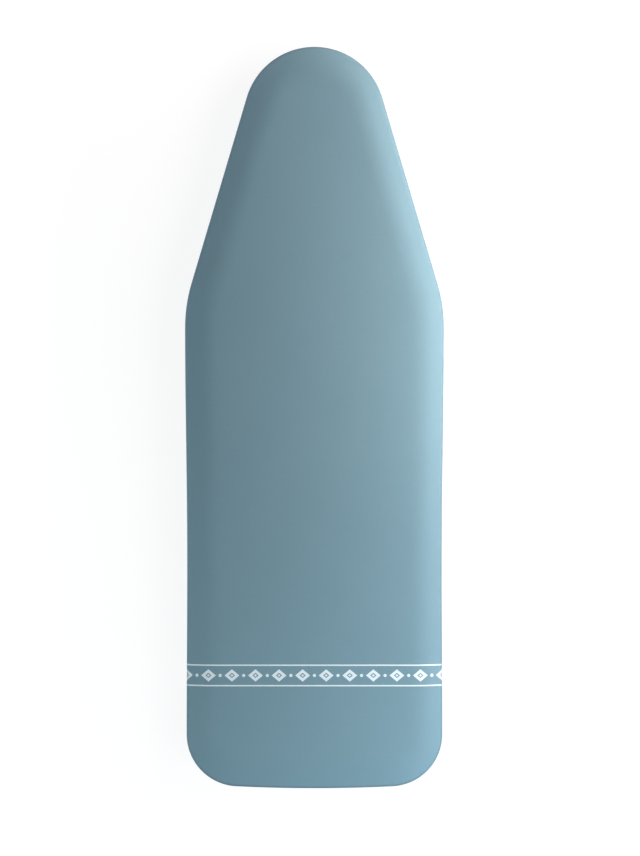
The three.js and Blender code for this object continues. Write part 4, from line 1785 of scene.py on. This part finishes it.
SOFTBOXES = (
    Softbox("right_softbox", (0.53, 0.18, 0.34), (0.0, 0.18, 0.03), (1.44, 0.3), 5.0),
    Softbox("flank_softbox", (0.7, -0.15, 0.16), (0.0, -0.15, 0.03), (0.9, 0.16), 3.0, (1.0, 0.88, 0.87)),
    Softbox("shoulder_softbox", (0.42, 0.24, 0.19), (0.0, 0.24, 0.03), (0.6, 0.2), 1.25, (1.0, 0.85, 0.78)),
    Softbox("tail_softbox", (0.24, -0.97, 0.54), (0.02, -0.47, 0.03), (1.0, 0.3), 4.0, (0.87, 0.96, 1.0)),
    Softbox("corner_softbox", (0.62, -0.92, 0.3), (0.12, -0.5, 0.03), (0.5, 0.3), 2.65, (0.71, 0.88, 1.0)),
    Softbox("nose_softbox", (0.55, 0.75, 0.13), (0.05, 0.4, 0.03), (0.6, 0.15), 5.1, (1.0, 0.91, 0.87)),
    Softbox("tip_softbox", (-0.45, 1.1, 0.2), (-0.02, 0.45, 0.03), (0.9, 0.3), 3.9, (1.0, 0.96, 1.0)),
    Softbox("left_softbox", (-1.1, -0.34, 0.2), (0.0, -0.34, 0.03), (1.4, 0.3), 9.2, (0.9, 0.97, 1.0)),
    Softbox("under_softbox", (-0.8, -0.5, -1.0), (0.0, 0.0, 0.0), (1.3, 1.0), 24.0),
)


@dataclass
class Studio:
    """The pale floor, the white surroundings, the lights and the camera over the cover.

    Attributes:
        floor_level: Height of the floor.
        floor_half: Half the floor's side.
        floor_share: How much light the floor throws back.
        floor_glow: The floor's own brightness, near the cover and far from it.
        pool: Distances between which the first of these turns into the second.
        pool_scale: Scales of these distances along each axis.
        fill: Strength of the light from all around.
        fill_colour: Its colour.
        lens: The camera's focal length, in millimetres.
        sensor: Width of its sensor, in millimetres.
        frame_height: Height of what the picture shows.
        eye_plane: Height at which it shows that.
        aim: Place under the camera.
        softboxes: Lights close round the cover, brightest on the right, and one under the floor.
    """

    floor_level: float = -0.0008
    floor_half: float = 9.0
    floor_share: float = 0.20
    floor_glow: tuple[float, float] = (0.855, 0.97)
    pool: tuple[float, float] = (0.42, 0.62)
    pool_scale: tuple[float, float, float] = (1.0, 0.5, 1.0)
    fill: float = 0.10
    fill_colour: Colour = (0.97, 0.99, 1.0, 1.0)
    lens: float = 100.0
    sensor: float = 36.0
    frame_height: float = 1.3873
    eye_plane: float = 0.020
    aim: tuple[float, float] = (0.0090, -0.0170)
    softboxes: tuple[Softbox, ...] = SOFTBOXES

    @staticmethod
    def _seen(graph: NodeGraph) -> Socket:
        """1 for what the eye meets, straight or through gloss or glass, and 0 for the light on things."""
        path = graph.node("ShaderNodeLightPath").outputs
        straight = graph.math("MAXIMUM", path["Is Camera Ray"], path["Is Glossy Ray"])
        return graph.math("MAXIMUM", straight, path["Is Transmission Ray"])

    def _pool(self, graph: NodeGraph) -> Socket:
        """The floor's own brightness: less in the pool of light round the cover, so that all looks even."""
        place = graph.node("ShaderNodeTexCoord").outputs["Object"]
        oval = graph.node("ShaderNodeMapping", {"Vector": place, "Scale": self.pool_scale}).outputs[0]
        far = graph.node("ShaderNodeVectorMath", [oval], operation="LENGTH").outputs["Value"]
        ease = (far, *self.pool, *self.floor_glow)
        return graph.node("ShaderNodeMapRange", ease, interpolation_type="SMOOTHSTEP").outputs[0]

    def surroundings(self) -> None:
        """Makes the world: white to the eye, a plain fill light otherwise."""
        world = bpy.data.worlds.new("studio_white")
        bpy.context.scene.world = world
        world.use_nodes = True
        graph = NodeGraph(world.node_tree)
        light = graph.node("ShaderNodeBackground", {"Color": self.fill_colour, "Strength": self.fill})
        white = graph.node("ShaderNodeBackground", {"Color": WHITE, "Strength": 1.0})
        choose = graph.node("ShaderNodeMixShader", [self._seen(graph), light.outputs[0], white.outputs[0]])
        graph.node("ShaderNodeOutputWorld", [choose.outputs[0]])

    def floor(self) -> None:
        """Makes the floor: pale, with the cover's shadow on it, and open to the eye from below."""
        half = self.floor_half
        mesh = bpy.data.meshes.new("floor")
        corners = [(-half, -half), (half, -half), (half, half), (-half, half)]
        mesh.from_pydata([(x, y, self.floor_level) for x, y in corners], [], [(0, 1, 2, 3)])
        floor = put("floor", mesh)
        material = bpy.data.materials.new("pale_floor")
        material.use_nodes = True
        graph = NodeGraph(material.node_tree)
        matt = graph.node("ShaderNodeBsdfDiffuse", {"Color": (self.floor_share,) * 3 + (1.0,)})
        strength = graph.math("MULTIPLY", self._seen(graph), self._pool(graph))
        glow = graph.node("ShaderNodeEmission", {"Color": WHITE, "Strength": strength})
        both = graph.node("ShaderNodeAddShader", [matt.outputs[0], glow.outputs[0]])
        clear = graph.node("ShaderNodeBsdfTransparent")
        below = graph.node("ShaderNodeNewGeometry").outputs["Backfacing"]
        choose = graph.node("ShaderNodeMixShader", [below, both.outputs[0], clear.outputs[0]])
        graph.node("ShaderNodeOutputMaterial", [choose.outputs[0]])
        mesh.materials.append(material)
        floor.visible_diffuse = False
        floor.visible_shadow = False

    def camera(self) -> None:
        """Hangs the camera straight above, with the nose at the top of the picture."""
        data = bpy.data.cameras.new("overhead")
        data.lens = self.lens
        data.sensor_width = self.sensor
        data.clip_end = 100.0
        eye = put("overhead", data)
        eye.location = (*self.aim, self.eye_plane + self.frame_height * self.lens / self.sensor)
        bpy.context.scene.camera = eye

    def build(self) -> None:
        """Sets up the whole stage."""
        bpy.context.scene.view_settings.view_transform = "Standard"
        self.surroundings()
        self.floor()
        for softbox in self.softboxes:
            softbox.build()
        self.camera()


def clear_scene() -> None:
    """Empties the scene that Blender opens with."""
    for thing in list(bpy.data.objects):
        bpy.data.objects.remove(thing)


def main() -> None:
    """Builds the cover in order and logs each piece."""
    LOG.setLevel(logging.INFO)
    LOG.propagate = False
    LOG.addHandler(logging.StreamHandler(sys.stdout))
    clear_scene()
    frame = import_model()
    Studio().build()
    finishes = Finishes.make()
    trees = Trees(StitchTree(), HookTree(), PileTree())
    Padding().build(finishes)
    hem = Hem().build(finishes, trees.stitches)
    panel = CottonPanel()
    cotton = dress(panel.build(), finishes.cotton, "cotton")
    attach(cotton, "cover")
    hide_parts("cover_fabric")
    flat, area = panel.flat_size()
    report(cotton, f"cut {flat[0]:.3f} by {flat[1]:.3f} m, {area:.3f} m2")
    Straps().build(frame["joints"], finishes, trees)


if __name__ == "__main__":
    main()
